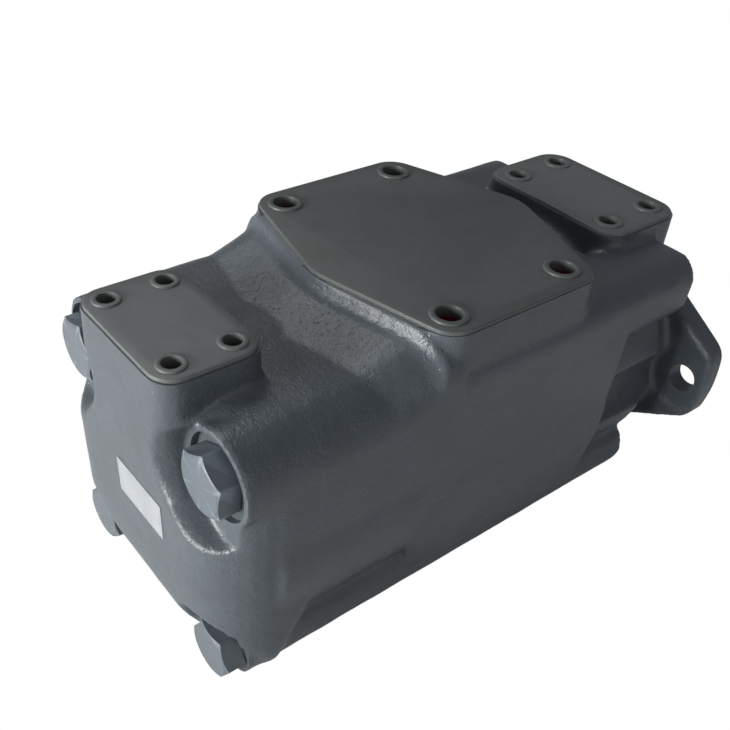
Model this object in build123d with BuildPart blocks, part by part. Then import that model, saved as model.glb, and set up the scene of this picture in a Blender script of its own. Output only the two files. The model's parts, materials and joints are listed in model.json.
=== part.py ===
from build123d import *
import math
import os

# Tandem cartridge vane pump with one suction port and two pressure ports.
# Millimetres. X is the shaft axis and points out of the drive end, Z points up to the ports.
# The origin is the centre of the mounting face, on the shaft axis.

os.makedirs("parts", exist_ok=True)

# ---------------------------------------------------------------- driving dimensions

# Castings, measured along the shaft axis
mounting_cap_length = 82.0
centre_housing_length = 212.0
end_cap_length = 54.5
flange_thickness = 12.0

# Cross-section of the castings
bolt_offset = 59.5  # housing bolts lie on a square of this half side
upper_lobe_radius = 24.5
front_lobe_side = 50.0  # towards the drive end the upper lobes are squarer
front_lobe_radius = 15.5
front_lobe_offset = 60.0
lower_lobe_radius = 19.0
barrel_radius = 83.0
swell_radius = 85.5  # the barrel is fuller behind the suction block
swell_blend = 12.0
swell_to_suction = 57.0  # the fuller barrel ends this far behind the suction port's centre

# Shelf along the lower front half of the centre housing's sides
shelf_top = 10.0
shelf_proud = 1.0
shelf_rear = 45.0  # from the suction port's centre
shelf_front = 82.0

# Domed back of the end cap
cap_shoulder = 20.0
dome_middle_half_width = 78.0
dome_middle_half_height = 76.0
dome_middle_rise = 3.0
rear_face_half_width = 60.0
rear_face_top = 50.0
rear_face_bottom = -22.0
rear_face_corner = 18.0
groove_radius = 9.0  # concave blend between barrel and lobes
deck_height = 84.0  # flat top between the two upper lobes
body_half_width = 84.0
base_depth = 78.3  # the underside is machined flat here, under the shaft axis

# SAE C two-bolt mounting flange
pilot_diameter = 127.0
pilot_length = 12.7
ear_hole_pitch = 181.0
ear_hole_diameter = 17.5
ear_tip_radius = 106.0
ear_root = (20.0, 73.0)  # the ears' straight edges start here
ear_apex = 142.0  # and would meet the Y axis here
ear_corner_radius = 14.0
ear_scoop_radius = 22.0
scoop_land = 3.0  # left between the scoop and the front seam

# Ports: pad height over the shaft axis, bore, bolt rectangle (across Y, along X), bolt hole.
# Each port is bored true for a short seat, and a narrower throat leads on into the casting.
port_seat_depth = 30.0
port_throat_step = 2.0
throat_overrun = 7.0  # the throat breaks this far into the chamber under it
suction_from_front_seam = 89.5
suction_pad_height = 100.0
suction_bore = 101.6
suction_bolts = (130.2, 77.8)
suction_bolt_hole = 16.0
suction_bolt_depth = 30.0

p1_from_mounting_face = 38.3
p1_pad_height = 92.0
p1_bore = 38.0
p1_bolts = (69.9, 35.7)
p1_bolt_hole = 12.8
p1_bolt_depth = 24.0

p2_from_rear_seam = 26.2
p2_pad_height = 100.0
p2_bore = 32.0
p2_bolts = (58.7, 30.2)
p2_bolt_hole = 11.0
p2_bolt_depth = 20.0

# Suction pad: six-sided, its front and rear sides come to a blunt point
suction_half_width = 80.5
suction_corner_x = 50.5
suction_rear_point = 69.5
suction_front_point = 79.0
suction_corner_radius = 15.0
suction_point_radius = 30.0
suction_flare_rear = 29.0
suction_flare_front = 9.0
flare_half_width = 72.0
flare_middle_half_width = 76.5

# Pressure pads, rectangular with round corners
p1_pad_size = (62.0, 99.0)
p1_pad_radius = 14.0
p2_pad_size = (52.7, 81.0)
p2_pad_radius = 12.0
p2_block_foot = 50.0  # the rear pad block runs down to this height
block_draft = 2.0  # degrees
pad_rim = 0.8  # the pad stands this much proud of its cover all round

# Fasteners
housing_bolt_diameter = 20.0
hex_across_flats = 30.0
hex_head_height = 12.5
hex_crown_taper = 45.0
socket_head_diameter = 30.0
socket_head_height = 20.0
socket_key_size = 17.0
thread_engagement = 40.0
thread_runout = 4.0
hex_turns = (5.0, 20.0, 33.0, 50.0)  # how each head ended up when tightened, degrees
spotface_radius = 21.5
spotface_recess = 3.4
lug_setback = 15.0  # from the rear face forward to the ends of the bolt lobes
scoop_radius = 24.0

# Shaft
shaft_extension = 62.0
shaft_diameter = 38.1
shaft_chamfer = 1.5
key_width = 9.525
key_height = 9.525
key_length = 44.5
key_end_gap = 6.0
spline_diameter = 34.0
spline_teeth = 14
spline_depth = 1.8
spline_tooth_width = 3.4
shaft_neck_diameter = 29.0
journal_diameter = 28.0

# Front cylindrical roller bearing 40 x 80 x 18
bearing_bore = 40.0
bearing_outside = 80.0
bearing_width = 18.0
bearing_front = 8.0  # its front face, out from the mounting face
roller_diameter = 10.0
roller_length = 10.0
roller_count = 12
race_flange_height = 2.5
cage_thickness = 3.0
cage_width = 15.0

# Rings and seals
retaining_ring_thickness = 2.5
retaining_ring_depth = 1.8
shaft_ring_thickness = 1.75
shaft_ring_depth = 1.2
ring_side_play = 0.1
bearing_ring_inward = 3.0  # the bearing's retaining ring stands this far into the bore
bearing_ring_opening = 12.0
shaft_ring_outward = 2.5
shaft_ring_opening = 8.0
shaft_undercut = 2.0
seal_outside = 62.0
seal_bore = 45.0
seal_width = 8.0
seal_wall = 2.5
seal_web = 2.0
seal_lip_flare = 1.5
seal_lip_gap = 1.0
seal_passage = 2.0  # radial room round the shaft's seal track
seal_counterbore = 3.0
seal_gap = 3.0  # between the bearing and the shaft seal
gasket_section = 3.4
seal_land = 2.2  # between the cartridge bore and the seal groove
web_thickness = 8.0  # wall between the shaft seal and the discharge chamber
rear_bush_outside = 38.0
rear_bush_length = 22.0
bush_boss_thickness = 7.0
bush_gap = 3.0  # between the cartridge hub and the bush boss

# Front cartridge (P1) and rear cartridge (P2)
p1_ring_thickness = 44.0
p1_ring_outside = 112.0
p1_minor_radius = 41.0
p1_major_radius = 46.0
p1_plate_diameter = 127.0
p1_pressure_plate = 18.0
p1_port_plate = 16.0
p1_hub_diameter = 96.0
p1_hub_length = 15.0
p1_vane_height = 13.0

p2_ring_thickness = 30.0
p2_ring_outside = 104.0
p2_minor_radius = 36.0
p2_major_radius = 40.0
p2_plate_diameter = 119.0
p2_pressure_plate = 15.0
p2_port_plate = 13.0
p2_hub_diameter = 84.0
p2_hub_length = 12.0
p2_vane_height = 11.0

vane_count = 10
vane_thickness = 4.8
vane_lip = 1.2  # width of each sealing lip on the vane's tip
vane_slot_root = 3.0  # radius of the round root under each vane
rotor_clearance = 0.5  # between the rotor and the cam ring's small radius
dwell_angle = 26.0  # of the cam ring's constant-radius stretches
plate_bore_clearance = 1.5  # round the shaft in the side plates
kidney_width = 5.0
kidney_sweep = 46.0
dowel_diameter = 6.0
cartridge_screw_diameter = 6.0
cartridge_screw_head = 10.0
cartridge_screw_head_height = 6.0
screw_angle = 15.0  # from the dowels
hub_seal_section = 2.4
suction_chamber_radius = 58.0
suction_throat_floor = 20.0  # height over the shaft axis where the suction throat ends
port_kidney_angles = (45, 135)  # pressure plate, port plate
dowel_set_back = 1.0  # the dowels end this far inside the plates
screw_end_gap = 1.0
slot_end_gap = 1.0  # under each vane
vane_tip_gap = 0.2  # a drawn-in vane's tip lies this far inside the rotor

# Port covers
cover_thickness = 2.0
cover_ring_height = 1.0
cover_inset = 0.5  # the suction cover is this much smaller than its pad
plug_length = 11.0
plug_floor = 1.5
suction_plug = (15.7, 13.3, 19.5)  # outside, inside and collar diameters
p1_plug = (12.5, 10.7, 16.7)
p2_plug = (10.7, 9.0, 14.2)

# Fits
running_fit = 0.05  # radial, and between faces that turn on each other
close_fit = 0.05
bolt_clearance = 0.6

# ---------------------------------------------------------------- places worked out

front_seam = -mounting_cap_length
rear_seam = front_seam - centre_housing_length
rear_face = rear_seam - end_cap_length
lug_face = rear_face + lug_setback
dome_middle_x = (rear_seam - cap_shoulder + rear_face) / 2
bolt_seat = lug_face + spotface_recess
base_plane = Plane.XY.offset(-base_depth)
flange_back = -flange_thickness
suction_x = front_seam - suction_from_front_seam
p1_x = -p1_from_mounting_face
p2_x = rear_seam - p2_from_rear_seam
p1_ring_front = front_seam - p1_pressure_plate
p1_ring_rear = p1_ring_front - p1_ring_thickness
p1_seat = p1_ring_rear - p1_port_plate
p2_ring_rear = rear_seam + p2_pressure_plate
p2_ring_front = p2_ring_rear + p2_ring_thickness
p2_seat = p2_ring_front + p2_port_plate
bearing_rear = bearing_front - bearing_width
seal_front = bearing_rear - seal_gap
seal_rear = seal_front - seal_width
bush_front = rear_seam - p2_hub_length - bush_gap
bush_rear = bush_front - rear_bush_length
key_x = shaft_extension - key_end_gap - key_length / 2
upper_bolts = [(-bolt_offset, bolt_offset), (bolt_offset, bolt_offset)]
lower_bolts = [(-bolt_offset, -bolt_offset), (bolt_offset, -bolt_offset)]
all_bolts = upper_bolts + lower_bolts


def finish(part, name, red, green, blue):
    """Name one finished piece and write it to its own file."""
    part.label = name
    part.color = Color(red, green, blue)
    export_step(part, f"parts/{name}.step")


def cross_plane(x):
    """Plane across the shaft at X = x, with its own x along Y and its own y along Z."""
    return Plane.YZ.offset(x)


def upper_lobes(squarer):
    """The two upper bolt lobes, round towards the rear and squarer towards the drive end."""
    with BuildSketch() as lobes:
        if squarer:
            with Locations((-front_lobe_offset, front_lobe_offset), (front_lobe_offset, front_lobe_offset)):
                RectangleRounded(front_lobe_side, front_lobe_side, front_lobe_radius)
        else:
            with Locations(*upper_bolts):
                Circle(upper_lobe_radius)
    return lobes.sketch


def body_section(x, barrel, squarer=False):
    """Section of the centre housing and end cap: round barrel, four bolt lobes, flat shoulders."""
    with BuildSketch(cross_plane(x)) as section:
        Circle(barrel)
        add(upper_lobes(squarer))
        with Locations(*lower_bolts):
            Circle(lower_lobe_radius)
        corners = [v for v in section.vertices() if v.Z < 0]
        fillet(corners, groove_radius)
        with Locations((0, deck_height / 2)):
            Rectangle(2 * bolt_offset, deck_height)
        with Locations((0, bolt_offset / 2)):
            Rectangle(2 * body_half_width, bolt_offset)
    return section.sketch


def cap_section(x):
    """Section of the mounting cap: round barrel with four bolt lobes and grooves between."""
    with BuildSketch(cross_plane(x)) as section:
        Circle(barrel_radius)
        add(upper_lobes(True))
        with Locations(*lower_bolts):
            Circle(lower_lobe_radius)
        lobe_corners = section.vertices().filter_by(lambda v: abs(Vector(0, v.Y, v.Z).length - barrel_radius) < 1e-4)
        fillet(lobe_corners, groove_radius)
    return section.sketch


def suction_outline(z, half_width, rear_grow=0.0, front_grow=0.0, inset=0.0):
    """Six-sided outline of the suction pad at height z."""
    rear_corner = suction_corner_x + rear_grow - inset
    front_corner = suction_corner_x + front_grow - inset
    with BuildSketch(Plane(origin=(suction_x, 0, z))) as outline:
        with BuildLine():
            Polyline(
                (-rear_corner, half_width),
                (front_corner, half_width),
                (suction_front_point + front_grow - inset, 0),
                (front_corner, -half_width),
                (-rear_corner, -half_width),
                (-suction_rear_point - rear_grow + inset, 0),
                close=True,
            )
        make_face()
        points = outline.vertices().filter_by_position(Axis.Y, -1, 1)
        fillet(points, suction_point_radius)
        corners = [v for v in outline.vertices() if abs(v.Y) > half_width - 1]
        fillet(corners, suction_corner_radius)
    return outline.sketch


def bolt_grid(bolts):
    """Corners of a port's bolt rectangle, which is given across Y and along X."""
    across, along = bolts
    return [(sx * along / 2, sy * across / 2) for sx in (-1, 1) for sy in (-1, 1)]


# ---------------------------------------------------------------- castings

with BuildPart() as mounting_cap:
    with BuildSketch(cross_plane(front_seam)):
        add(cap_section(front_seam))
    extrude(amount=mounting_cap_length - flange_thickness)
    # flange plate: the two ears, joined to the lobes and the barrel
    with BuildSketch(cross_plane(flange_back)) as flange:
        with BuildLine():
            Polyline(
                (-ear_apex, 0),
                (-ear_root[0], ear_root[1]),
                ear_root,
                (ear_apex, 0),
                (ear_root[0], -ear_root[1]),
                (-ear_root[0], -ear_root[1]),
                close=True,
            )
        make_face()
        Circle(ear_tip_radius, mode=Mode.INTERSECT)
        tips = [v for v in flange.vertices() if abs(v.Y) > ear_hole_pitch / 2]
        fillet(tips, ear_corner_radius)
        add(cap_section(flange_back))
    extrude(amount=flange_thickness)
    with BuildSketch(Plane.YZ):
        Circle(pilot_diameter / 2)
    extrude(amount=pilot_length)
    # pad block of the front pressure port
    with BuildSketch(Plane(origin=(p1_x, 0, p1_pad_height))):
        RectangleRounded(
            p1_pad_size[0] + 2 * pad_rim, p1_pad_size[1] + 2 * pad_rim, p1_pad_radius
        )
    extrude(amount=-(p1_pad_height - bolt_offset), taper=-block_draft)
    # clearance for the mounting bolts behind the ears
    with BuildSketch(cross_plane(flange_back)):
        with Locations((-ear_hole_pitch / 2, 0), (ear_hole_pitch / 2, 0)):
            Circle(ear_scoop_radius)
    extrude(amount=-(mounting_cap_length - flange_thickness - scoop_land), mode=Mode.SUBTRACT)
    # mounting holes
    with Locations(Plane.YZ):
        with Locations((-ear_hole_pitch / 2, 0), (ear_hole_pitch / 2, 0)):
            Hole(ear_hole_diameter / 2, depth=flange_thickness + 1)
    # counterbored holes of the front housing bolts
    with Locations(Plane.YZ):
        with Locations(*all_bolts):
            CounterBoreHole(
                housing_bolt_diameter / 2 + bolt_clearance,
                socket_head_diameter / 2 + bolt_clearance,
                socket_head_height + 1,
                depth=mounting_cap_length + 1,
            )
    # bore: bearing seat, ring groove, shaft seal seat, shaft passage, discharge chamber
    with BuildSketch(Plane.XZ) as cap_bore:
        with BuildLine():
            Polyline(
                (pilot_length, 0),
                (pilot_length, bearing_outside / 2),
                (bearing_front + retaining_ring_thickness + ring_side_play, bearing_outside / 2),
                (
                    bearing_front + retaining_ring_thickness + ring_side_play,
                    bearing_outside / 2 + retaining_ring_depth,
                ),
                (bearing_front, bearing_outside / 2 + retaining_ring_depth),
                (bearing_front, bearing_outside / 2),
                (bearing_rear, bearing_outside / 2),
                (bearing_rear, seal_outside / 2 + seal_counterbore),
                (seal_front, seal_outside / 2 + seal_counterbore),
                (seal_front, seal_outside / 2),
                (seal_rear, seal_outside / 2),
                (seal_rear, seal_bore / 2 + seal_passage),
                (seal_rear - web_thickness, seal_bore / 2 + seal_passage),
                (seal_rear - web_thickness, p1_hub_diameter / 2 + close_fit),
                (front_seam, p1_hub_diameter / 2 + close_fit),
                (front_seam, 0),
                close=True,
            )
        make_face()
    revolve(axis=Axis.X, mode=Mode.SUBTRACT)
    # groove of the front housing seal
    with BuildSketch(cross_plane(front_seam)):
        Circle(p1_plate_diameter / 2 + seal_land + gasket_section)
        Circle(p1_plate_diameter / 2 + seal_land, mode=Mode.SUBTRACT)
    extrude(amount=gasket_section, mode=Mode.SUBTRACT)
    # pressure port and its bolt holes
    with Locations(Plane(origin=(p1_x, 0, p1_pad_height))):
        Hole(p1_bore / 2, depth=port_seat_depth)
        throat_depth = p1_pad_height - p1_hub_diameter / 2 + throat_overrun
        Hole(p1_bore / 2 - port_throat_step, depth=throat_depth)
        with Locations(*bolt_grid(p1_bolts)):
            Hole(p1_bolt_hole / 2, depth=p1_bolt_depth)
    split(bisect_by=base_plane, keep=Keep.TOP)
finish(mounting_cap.part, "mounting_cap", 0.20, 0.21, 0.22)

with BuildPart() as centre_housing:
    swell_end = suction_x - swell_to_suction
    with BuildSketch(cross_plane(rear_seam)):
        add(body_section(rear_seam, swell_radius))
    extrude(amount=swell_end - rear_seam)
    with BuildSketch(cross_plane(swell_end)):
        add(body_section(swell_end, barrel_radius, squarer=True))
    extrude(amount=front_seam - swell_end)
    # soft step where the fuller barrel ends
    with BuildSketch(Plane.XZ):
        with BuildLine():
            Polyline(
                (swell_end, 0),
                (swell_end, swell_radius),
                (swell_end + swell_blend, barrel_radius),
                (swell_end + swell_blend, 0),
                close=True,
            )
        make_face()
    revolve(axis=Axis.X)
    # suction block: drafted walls down into the body, and a concave flare out to the deck
    loft(
        sections=[
            suction_outline(suction_pad_height, suction_half_width),
            suction_outline(bolt_offset, body_half_width),
        ],
        ruled=True,
    )
    loft(
        sections=[
            suction_outline(deck_height - 1, flare_half_width, suction_flare_rear, suction_flare_front),
            suction_outline(
                deck_height + 3, flare_middle_half_width, suction_flare_rear / 3, suction_flare_front / 3
            ),
            suction_outline(suction_pad_height - 5, suction_half_width),
        ]
    )
    # low shelf along the front half of both long sides
    with BuildSketch(cross_plane(suction_x - shelf_rear)):
        for side in (-1, 1):
            with BuildLine():
                Polyline(
                    (side * bolt_offset, shelf_top),
                    (side * (body_half_width - 1), shelf_top),
                    (side * (body_half_width + shelf_proud), shelf_top - 9),
                    (side * (body_half_width + shelf_proud), shelf_top - 26),
                    (side * (bolt_offset + lower_lobe_radius), -bolt_offset),
                    (side * bolt_offset, -bolt_offset),
                    close=True,
                )
            make_face()
    extrude(amount=shelf_rear + shelf_front)
    # cartridge bores and the suction chamber between them
    with BuildSketch(Plane.XZ):
        with BuildLine():
            Polyline(
                (front_seam, 0),
                (front_seam, p1_plate_diameter / 2 + close_fit),
                (p1_seat, p1_plate_diameter / 2 + close_fit),
                (p1_seat, suction_chamber_radius),
                (p2_seat, suction_chamber_radius),
                (p2_seat, p2_plate_diameter / 2 + close_fit),
                (rear_seam, p2_plate_diameter / 2 + close_fit),
                (rear_seam, 0),
                close=True,
            )
        make_face()
    revolve(axis=Axis.X, mode=Mode.SUBTRACT)
    # suction port and its bolt holes
    with Locations(Plane(origin=(suction_x, 0, suction_pad_height))):
        Hole(suction_bore / 2, depth=port_seat_depth)
        throat_radius = suction_bore / 2 - port_throat_step
        Hole(throat_radius, depth=suction_pad_height - suction_throat_floor)
        with Locations(*bolt_grid(suction_bolts)):
            Hole(suction_bolt_hole / 2, depth=suction_bolt_depth)
    # tapped holes of the housing bolts at both ends
    for seam, inward in ((rear_seam, 1), (front_seam, -1)):
        with BuildSketch(cross_plane(seam)):
            with Locations(*all_bolts):
                Circle(housing_bolt_diameter / 2 + close_fit)
        extrude(amount=inward * (thread_engagement + thread_runout), mode=Mode.SUBTRACT)
    split(bisect_by=base_plane, keep=Keep.TOP)
finish(centre_housing.part, "centre_housing", 0.22, 0.23, 0.24)

with BuildPart() as end_cap:
    with BuildSketch(cross_plane(rear_seam)):
        add(body_section(rear_seam, swell_radius))
    extrude(amount=-cap_shoulder)
    # bolt lobes run on past the shoulder to the bolt seats
    with BuildSketch(cross_plane(lug_face)):
        with Locations(*upper_bolts):
            Circle(upper_lobe_radius)
        with Locations(*lower_bolts):
            Circle(lower_lobe_radius)
    extrude(amount=rear_seam - lug_face)
    # domed back that closes in to the flat rear face
    with BuildSketch(cross_plane(rear_seam - cap_shoulder)):
        RectangleRounded(2 * body_half_width, 2 * body_half_width, upper_lobe_radius)
    with BuildSketch(cross_plane(dome_middle_x)):
        with Locations((0, dome_middle_rise)):
            RectangleRounded(
                2 * dome_middle_half_width, 2 * dome_middle_half_height, upper_lobe_radius
            )
    with BuildSketch(cross_plane(rear_face)):
        with Locations((0, (rear_face_top + rear_face_bottom) / 2)):
            RectangleRounded(
                2 * rear_face_half_width, rear_face_top - rear_face_bottom, rear_face_corner
            )
    loft()
    # pad block of the rear pressure port
    with BuildSketch(Plane(origin=(p2_x, 0, p2_pad_height))):
        RectangleRounded(
            p2_pad_size[0] + 2 * pad_rim, p2_pad_size[1] + 2 * pad_rim, p2_pad_radius
        )
    extrude(amount=-(p2_pad_height - p2_block_foot), taper=-block_draft)
    split(bisect_by=cross_plane(rear_seam), keep=Keep.BOTTOM)
    # scoops and spotfaces for the bolt heads
    with BuildSketch(cross_plane(lug_face)):
        with Locations(*all_bolts):
            Circle(scoop_radius)
    extrude(amount=rear_face - lug_face, mode=Mode.SUBTRACT)
    with BuildSketch(cross_plane(bolt_seat)):
        with Locations(*all_bolts):
            Circle(spotface_radius)
    extrude(amount=lug_face - bolt_seat, mode=Mode.SUBTRACT)
    with BuildSketch(cross_plane(rear_seam)):
        with Locations(*all_bolts):
            Circle(housing_bolt_diameter / 2 + bolt_clearance)
    extrude(amount=bolt_seat - rear_seam, mode=Mode.SUBTRACT)
    # hub bore, discharge chamber and the boss that carries the rear bush
    with BuildSketch(Plane.XZ):
        with BuildLine():
            Polyline(
                (rear_seam, 0),
                (rear_seam, p2_hub_diameter / 2 + close_fit),
                (bush_rear, p2_hub_diameter / 2 + close_fit),
                (bush_rear, rear_bush_outside / 2 + bush_boss_thickness),
                (bush_front, rear_bush_outside / 2 + bush_boss_thickness),
                (bush_front, rear_bush_outside / 2),
                (bush_rear, rear_bush_outside / 2),
                (bush_rear, journal_diameter / 2 + 1),
                (bush_rear - bush_gap, journal_diameter / 2 + 1),
                (bush_rear - bush_gap, 0),
                close=True,
            )
        make_face()
    revolve(axis=Axis.X, mode=Mode.SUBTRACT)
    with BuildSketch(cross_plane(rear_seam)):
        Circle(p2_plate_diameter / 2 + seal_land + gasket_section)
        Circle(p2_plate_diameter / 2 + seal_land, mode=Mode.SUBTRACT)
    extrude(amount=-gasket_section, mode=Mode.SUBTRACT)
    with Locations(Plane(origin=(p2_x, 0, p2_pad_height))):
        Hole(p2_bore / 2, depth=port_seat_depth)
        throat_depth = p2_pad_height - p2_hub_diameter / 2 + throat_overrun
        Hole(p2_bore / 2 - port_throat_step, depth=throat_depth)
        with Locations(*bolt_grid(p2_bolts)):
            Hole(p2_bolt_hole / 2, depth=p2_bolt_depth)
    split(bisect_by=base_plane, keep=Keep.TOP)
finish(end_cap.part, "end_cap", 0.20, 0.21, 0.22)

# ---------------------------------------------------------------- housing bolts and seals

with BuildPart() as rear_housing_bolts:
    for place, turn in zip(all_bolts, hex_turns):
        with BuildSketch(cross_plane(bolt_seat)):
            with Locations(Location(place, turn)):
                RegularPolygon(hex_across_flats / 2, 6, major_radius=False)
        extrude(amount=-hex_head_height)
    # the crown of each head is chamfered to a circle
    with BuildSketch(cross_plane(bolt_seat)):
        with Locations(*all_bolts):
            Circle(hex_across_flats / 2 + hex_head_height)
    extrude(amount=-hex_head_height, taper=hex_crown_taper, mode=Mode.INTERSECT)
    with BuildSketch(cross_plane(bolt_seat)):
        with Locations(*all_bolts):
            Circle(housing_bolt_diameter / 2)
    extrude(amount=rear_seam - bolt_seat + thread_engagement)
finish(rear_housing_bolts.part, "rear_housing_bolts", 0.24, 0.25, 0.26)

with BuildPart() as front_housing_bolts:
    head_seat = -socket_head_height - 1
    with BuildSketch(cross_plane(head_seat)):
        with Locations(*all_bolts):
            Circle(socket_head_diameter / 2)
    extrude(amount=socket_head_height)
    with BuildSketch(cross_plane(head_seat)):
        with Locations(*all_bolts):
            Circle(housing_bolt_diameter / 2)
    extrude(amount=front_seam - head_seat - thread_engagement)
    with BuildSketch(cross_plane(head_seat + socket_head_height)):
        with Locations(*all_bolts):
            RegularPolygon(socket_key_size / 2, 6, major_radius=False)
    extrude(amount=-socket_head_height / 2, mode=Mode.SUBTRACT)
finish(front_housing_bolts.part, "front_housing_bolts", 0.10, 0.10, 0.11)


def square_ring(x, inside_radius, section, length):
    """Seal ring of rectangular section, from X = x towards +X for its length."""
    with BuildPart() as ring:
        with BuildSketch(cross_plane(x)):
            Circle(inside_radius + section)
            Circle(inside_radius, mode=Mode.SUBTRACT)
        extrude(amount=length)
    return ring.part


finish(
    square_ring(front_seam, p1_plate_diameter / 2 + seal_land, gasket_section, gasket_section),
    "front_housing_seal", 0.05, 0.05, 0.05,
)
finish(
    square_ring(
        rear_seam - gasket_section,
        p2_plate_diameter / 2 + seal_land,
        gasket_section,
        gasket_section,
    ),
    "rear_housing_seal", 0.05, 0.05, 0.05,
)

# ---------------------------------------------------------------- shaft and its bearings


def spline_section(x, grow):
    """Straight-sided spline section, grown all round by the given clearance."""
    root = spline_diameter / 2 - spline_depth
    with BuildSketch(cross_plane(x)) as section:
        Circle(root + grow)
        with PolarLocations(root, spline_teeth):
            Rectangle(2 * (spline_depth + grow), spline_tooth_width + 2 * grow)
    return section.sketch


with BuildPart() as shaft:
    shoulder_end = seal_rear - web_thickness
    shaft_ring_end = bearing_front + shaft_ring_thickness
    with BuildSketch(Plane.XZ):
        with BuildLine():
            Polyline(
                (shaft_extension, 0),
                (shaft_extension, shaft_diameter / 2 - shaft_chamfer),
                (shaft_extension - shaft_chamfer, shaft_diameter / 2),
                (shaft_ring_end + shaft_undercut, shaft_diameter / 2),
                (shaft_ring_end + shaft_undercut, bearing_bore / 2),
                (shaft_ring_end, bearing_bore / 2),
                (shaft_ring_end, bearing_bore / 2 - shaft_ring_depth),
                (bearing_front, bearing_bore / 2 - shaft_ring_depth),
                (bearing_front, bearing_bore / 2),
                (bearing_rear, bearing_bore / 2),
                (bearing_rear, seal_bore / 2 - running_fit),
                (shoulder_end, seal_bore / 2 - running_fit),
                (p1_ring_front + plate_bore_clearance, spline_diameter / 2),
                (p1_ring_front, spline_diameter / 2 - spline_depth),
                (p1_ring_rear, spline_diameter / 2 - spline_depth),
                (p1_ring_rear - spline_depth, shaft_neck_diameter / 2),
                (p2_ring_front + spline_depth, shaft_neck_diameter / 2),
                (p2_ring_front, spline_diameter / 2 - spline_depth),
                (p2_ring_rear, spline_diameter / 2 - spline_depth),
                (p2_ring_rear - spline_depth, journal_diameter / 2),
                (bush_rear, journal_diameter / 2),
                (bush_rear, 0),
                close=True,
            )
        make_face()
    revolve(axis=Axis.X)
    for ring_front, ring_rear in ((p1_ring_front, p1_ring_rear), (p2_ring_front, p2_ring_rear)):
        with BuildSketch(cross_plane(ring_rear)):
            add(spline_section(ring_rear, 0))
        extrude(amount=ring_front - ring_rear)
    # keyway, round-ended, in the top of the drive end
    with BuildSketch(Plane(origin=(key_x, 0, shaft_diameter / 2 - key_height / 2))):
        SlotOverall(key_length, key_width)
    extrude(amount=key_height, mode=Mode.SUBTRACT)
finish(shaft.part, "shaft", 0.62, 0.63, 0.65)

with BuildPart() as shaft_key:
    with BuildSketch(Plane(origin=(key_x, 0, shaft_diameter / 2 - key_height / 2))):
        SlotOverall(key_length, key_width)
    extrude(amount=key_height)
finish(shaft_key.part, "shaft_key", 0.55, 0.55, 0.57)

pitch_radius = (bearing_bore + bearing_outside) / 4
inner_track = pitch_radius - roller_diameter / 2 - running_fit
outer_track = pitch_radius + roller_diameter / 2 + running_fit
bearing_middle = (bearing_front + bearing_rear) / 2
roller_space = roller_length / 2 + running_fit

with BuildPart() as bearing_inner_race:
    with BuildSketch(Plane.XZ):
        with BuildLine():
            Polyline(
                (bearing_front, bearing_bore / 2),
                (bearing_front, inner_track + race_flange_height),
                (bearing_middle + roller_space, inner_track + race_flange_height),
                (bearing_middle + roller_space, inner_track),
                (bearing_middle - roller_space, inner_track),
                (bearing_middle - roller_space, inner_track + race_flange_height),
                (bearing_rear, inner_track + race_flange_height),
                (bearing_rear, bearing_bore / 2),
                close=True,
            )
        make_face()
    revolve(axis=Axis.X)
finish(bearing_inner_race.part, "bearing_inner_race", 0.70, 0.71, 0.72)

with BuildPart() as bearing_outer_race:
    with BuildSketch(cross_plane(bearing_rear)):
        Circle(bearing_outside / 2)
        Circle(outer_track, mode=Mode.SUBTRACT)
    extrude(amount=bearing_width)
finish(bearing_outer_race.part, "bearing_outer_race", 0.70, 0.71, 0.72)

with BuildPart() as bearing_rollers:
    with BuildSketch(cross_plane(bearing_middle - roller_length / 2)):
        with PolarLocations(pitch_radius, roller_count):
            Circle(roller_diameter / 2)
    extrude(amount=roller_length)
finish(bearing_rollers.part, "bearing_rollers", 0.74, 0.75, 0.76)

with BuildPart() as bearing_cage:
    cage_inside = inner_track + race_flange_height + running_fit * 4
    with BuildSketch(cross_plane(bearing_middle - cage_width / 2)):
        Circle(cage_inside + cage_thickness)
        Circle(cage_inside, mode=Mode.SUBTRACT)
    extrude(amount=cage_width)
    with BuildSketch(cross_plane(bearing_middle - roller_space)):
        with PolarLocations(pitch_radius, roller_count):
            Circle(roller_diameter / 2 + running_fit)
    extrude(amount=2 * roller_space, mode=Mode.SUBTRACT)
finish(bearing_cage.part, "bearing_cage", 0.72, 0.58, 0.30)


def snap_ring(x, inside_radius, outside_radius, thickness, gap):
    """Open retaining ring, its gap at the bottom."""
    with BuildPart() as ring:
        with BuildSketch(cross_plane(x)):
            Circle(outside_radius)
            Circle(inside_radius, mode=Mode.SUBTRACT)
            with Locations((0, -outside_radius)):
                Rectangle(gap, 2 * (outside_radius - inside_radius) + gap, mode=Mode.SUBTRACT)
        extrude(amount=thickness)
    return ring.part


finish(
    snap_ring(
        bearing_front,
        bearing_outside / 2 - bearing_ring_inward,
        bearing_outside / 2 + retaining_ring_depth - close_fit,
        retaining_ring_thickness,
        bearing_ring_opening,
    ),
    "bearing_retaining_ring", 0.30, 0.30, 0.31,
)
finish(
    snap_ring(
        bearing_front,
        bearing_bore / 2 - shaft_ring_depth + close_fit,
        bearing_bore / 2 + shaft_ring_outward,
        shaft_ring_thickness,
        shaft_ring_opening,
    ),
    "shaft_retaining_ring", 0.30, 0.30, 0.31,
)

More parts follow.
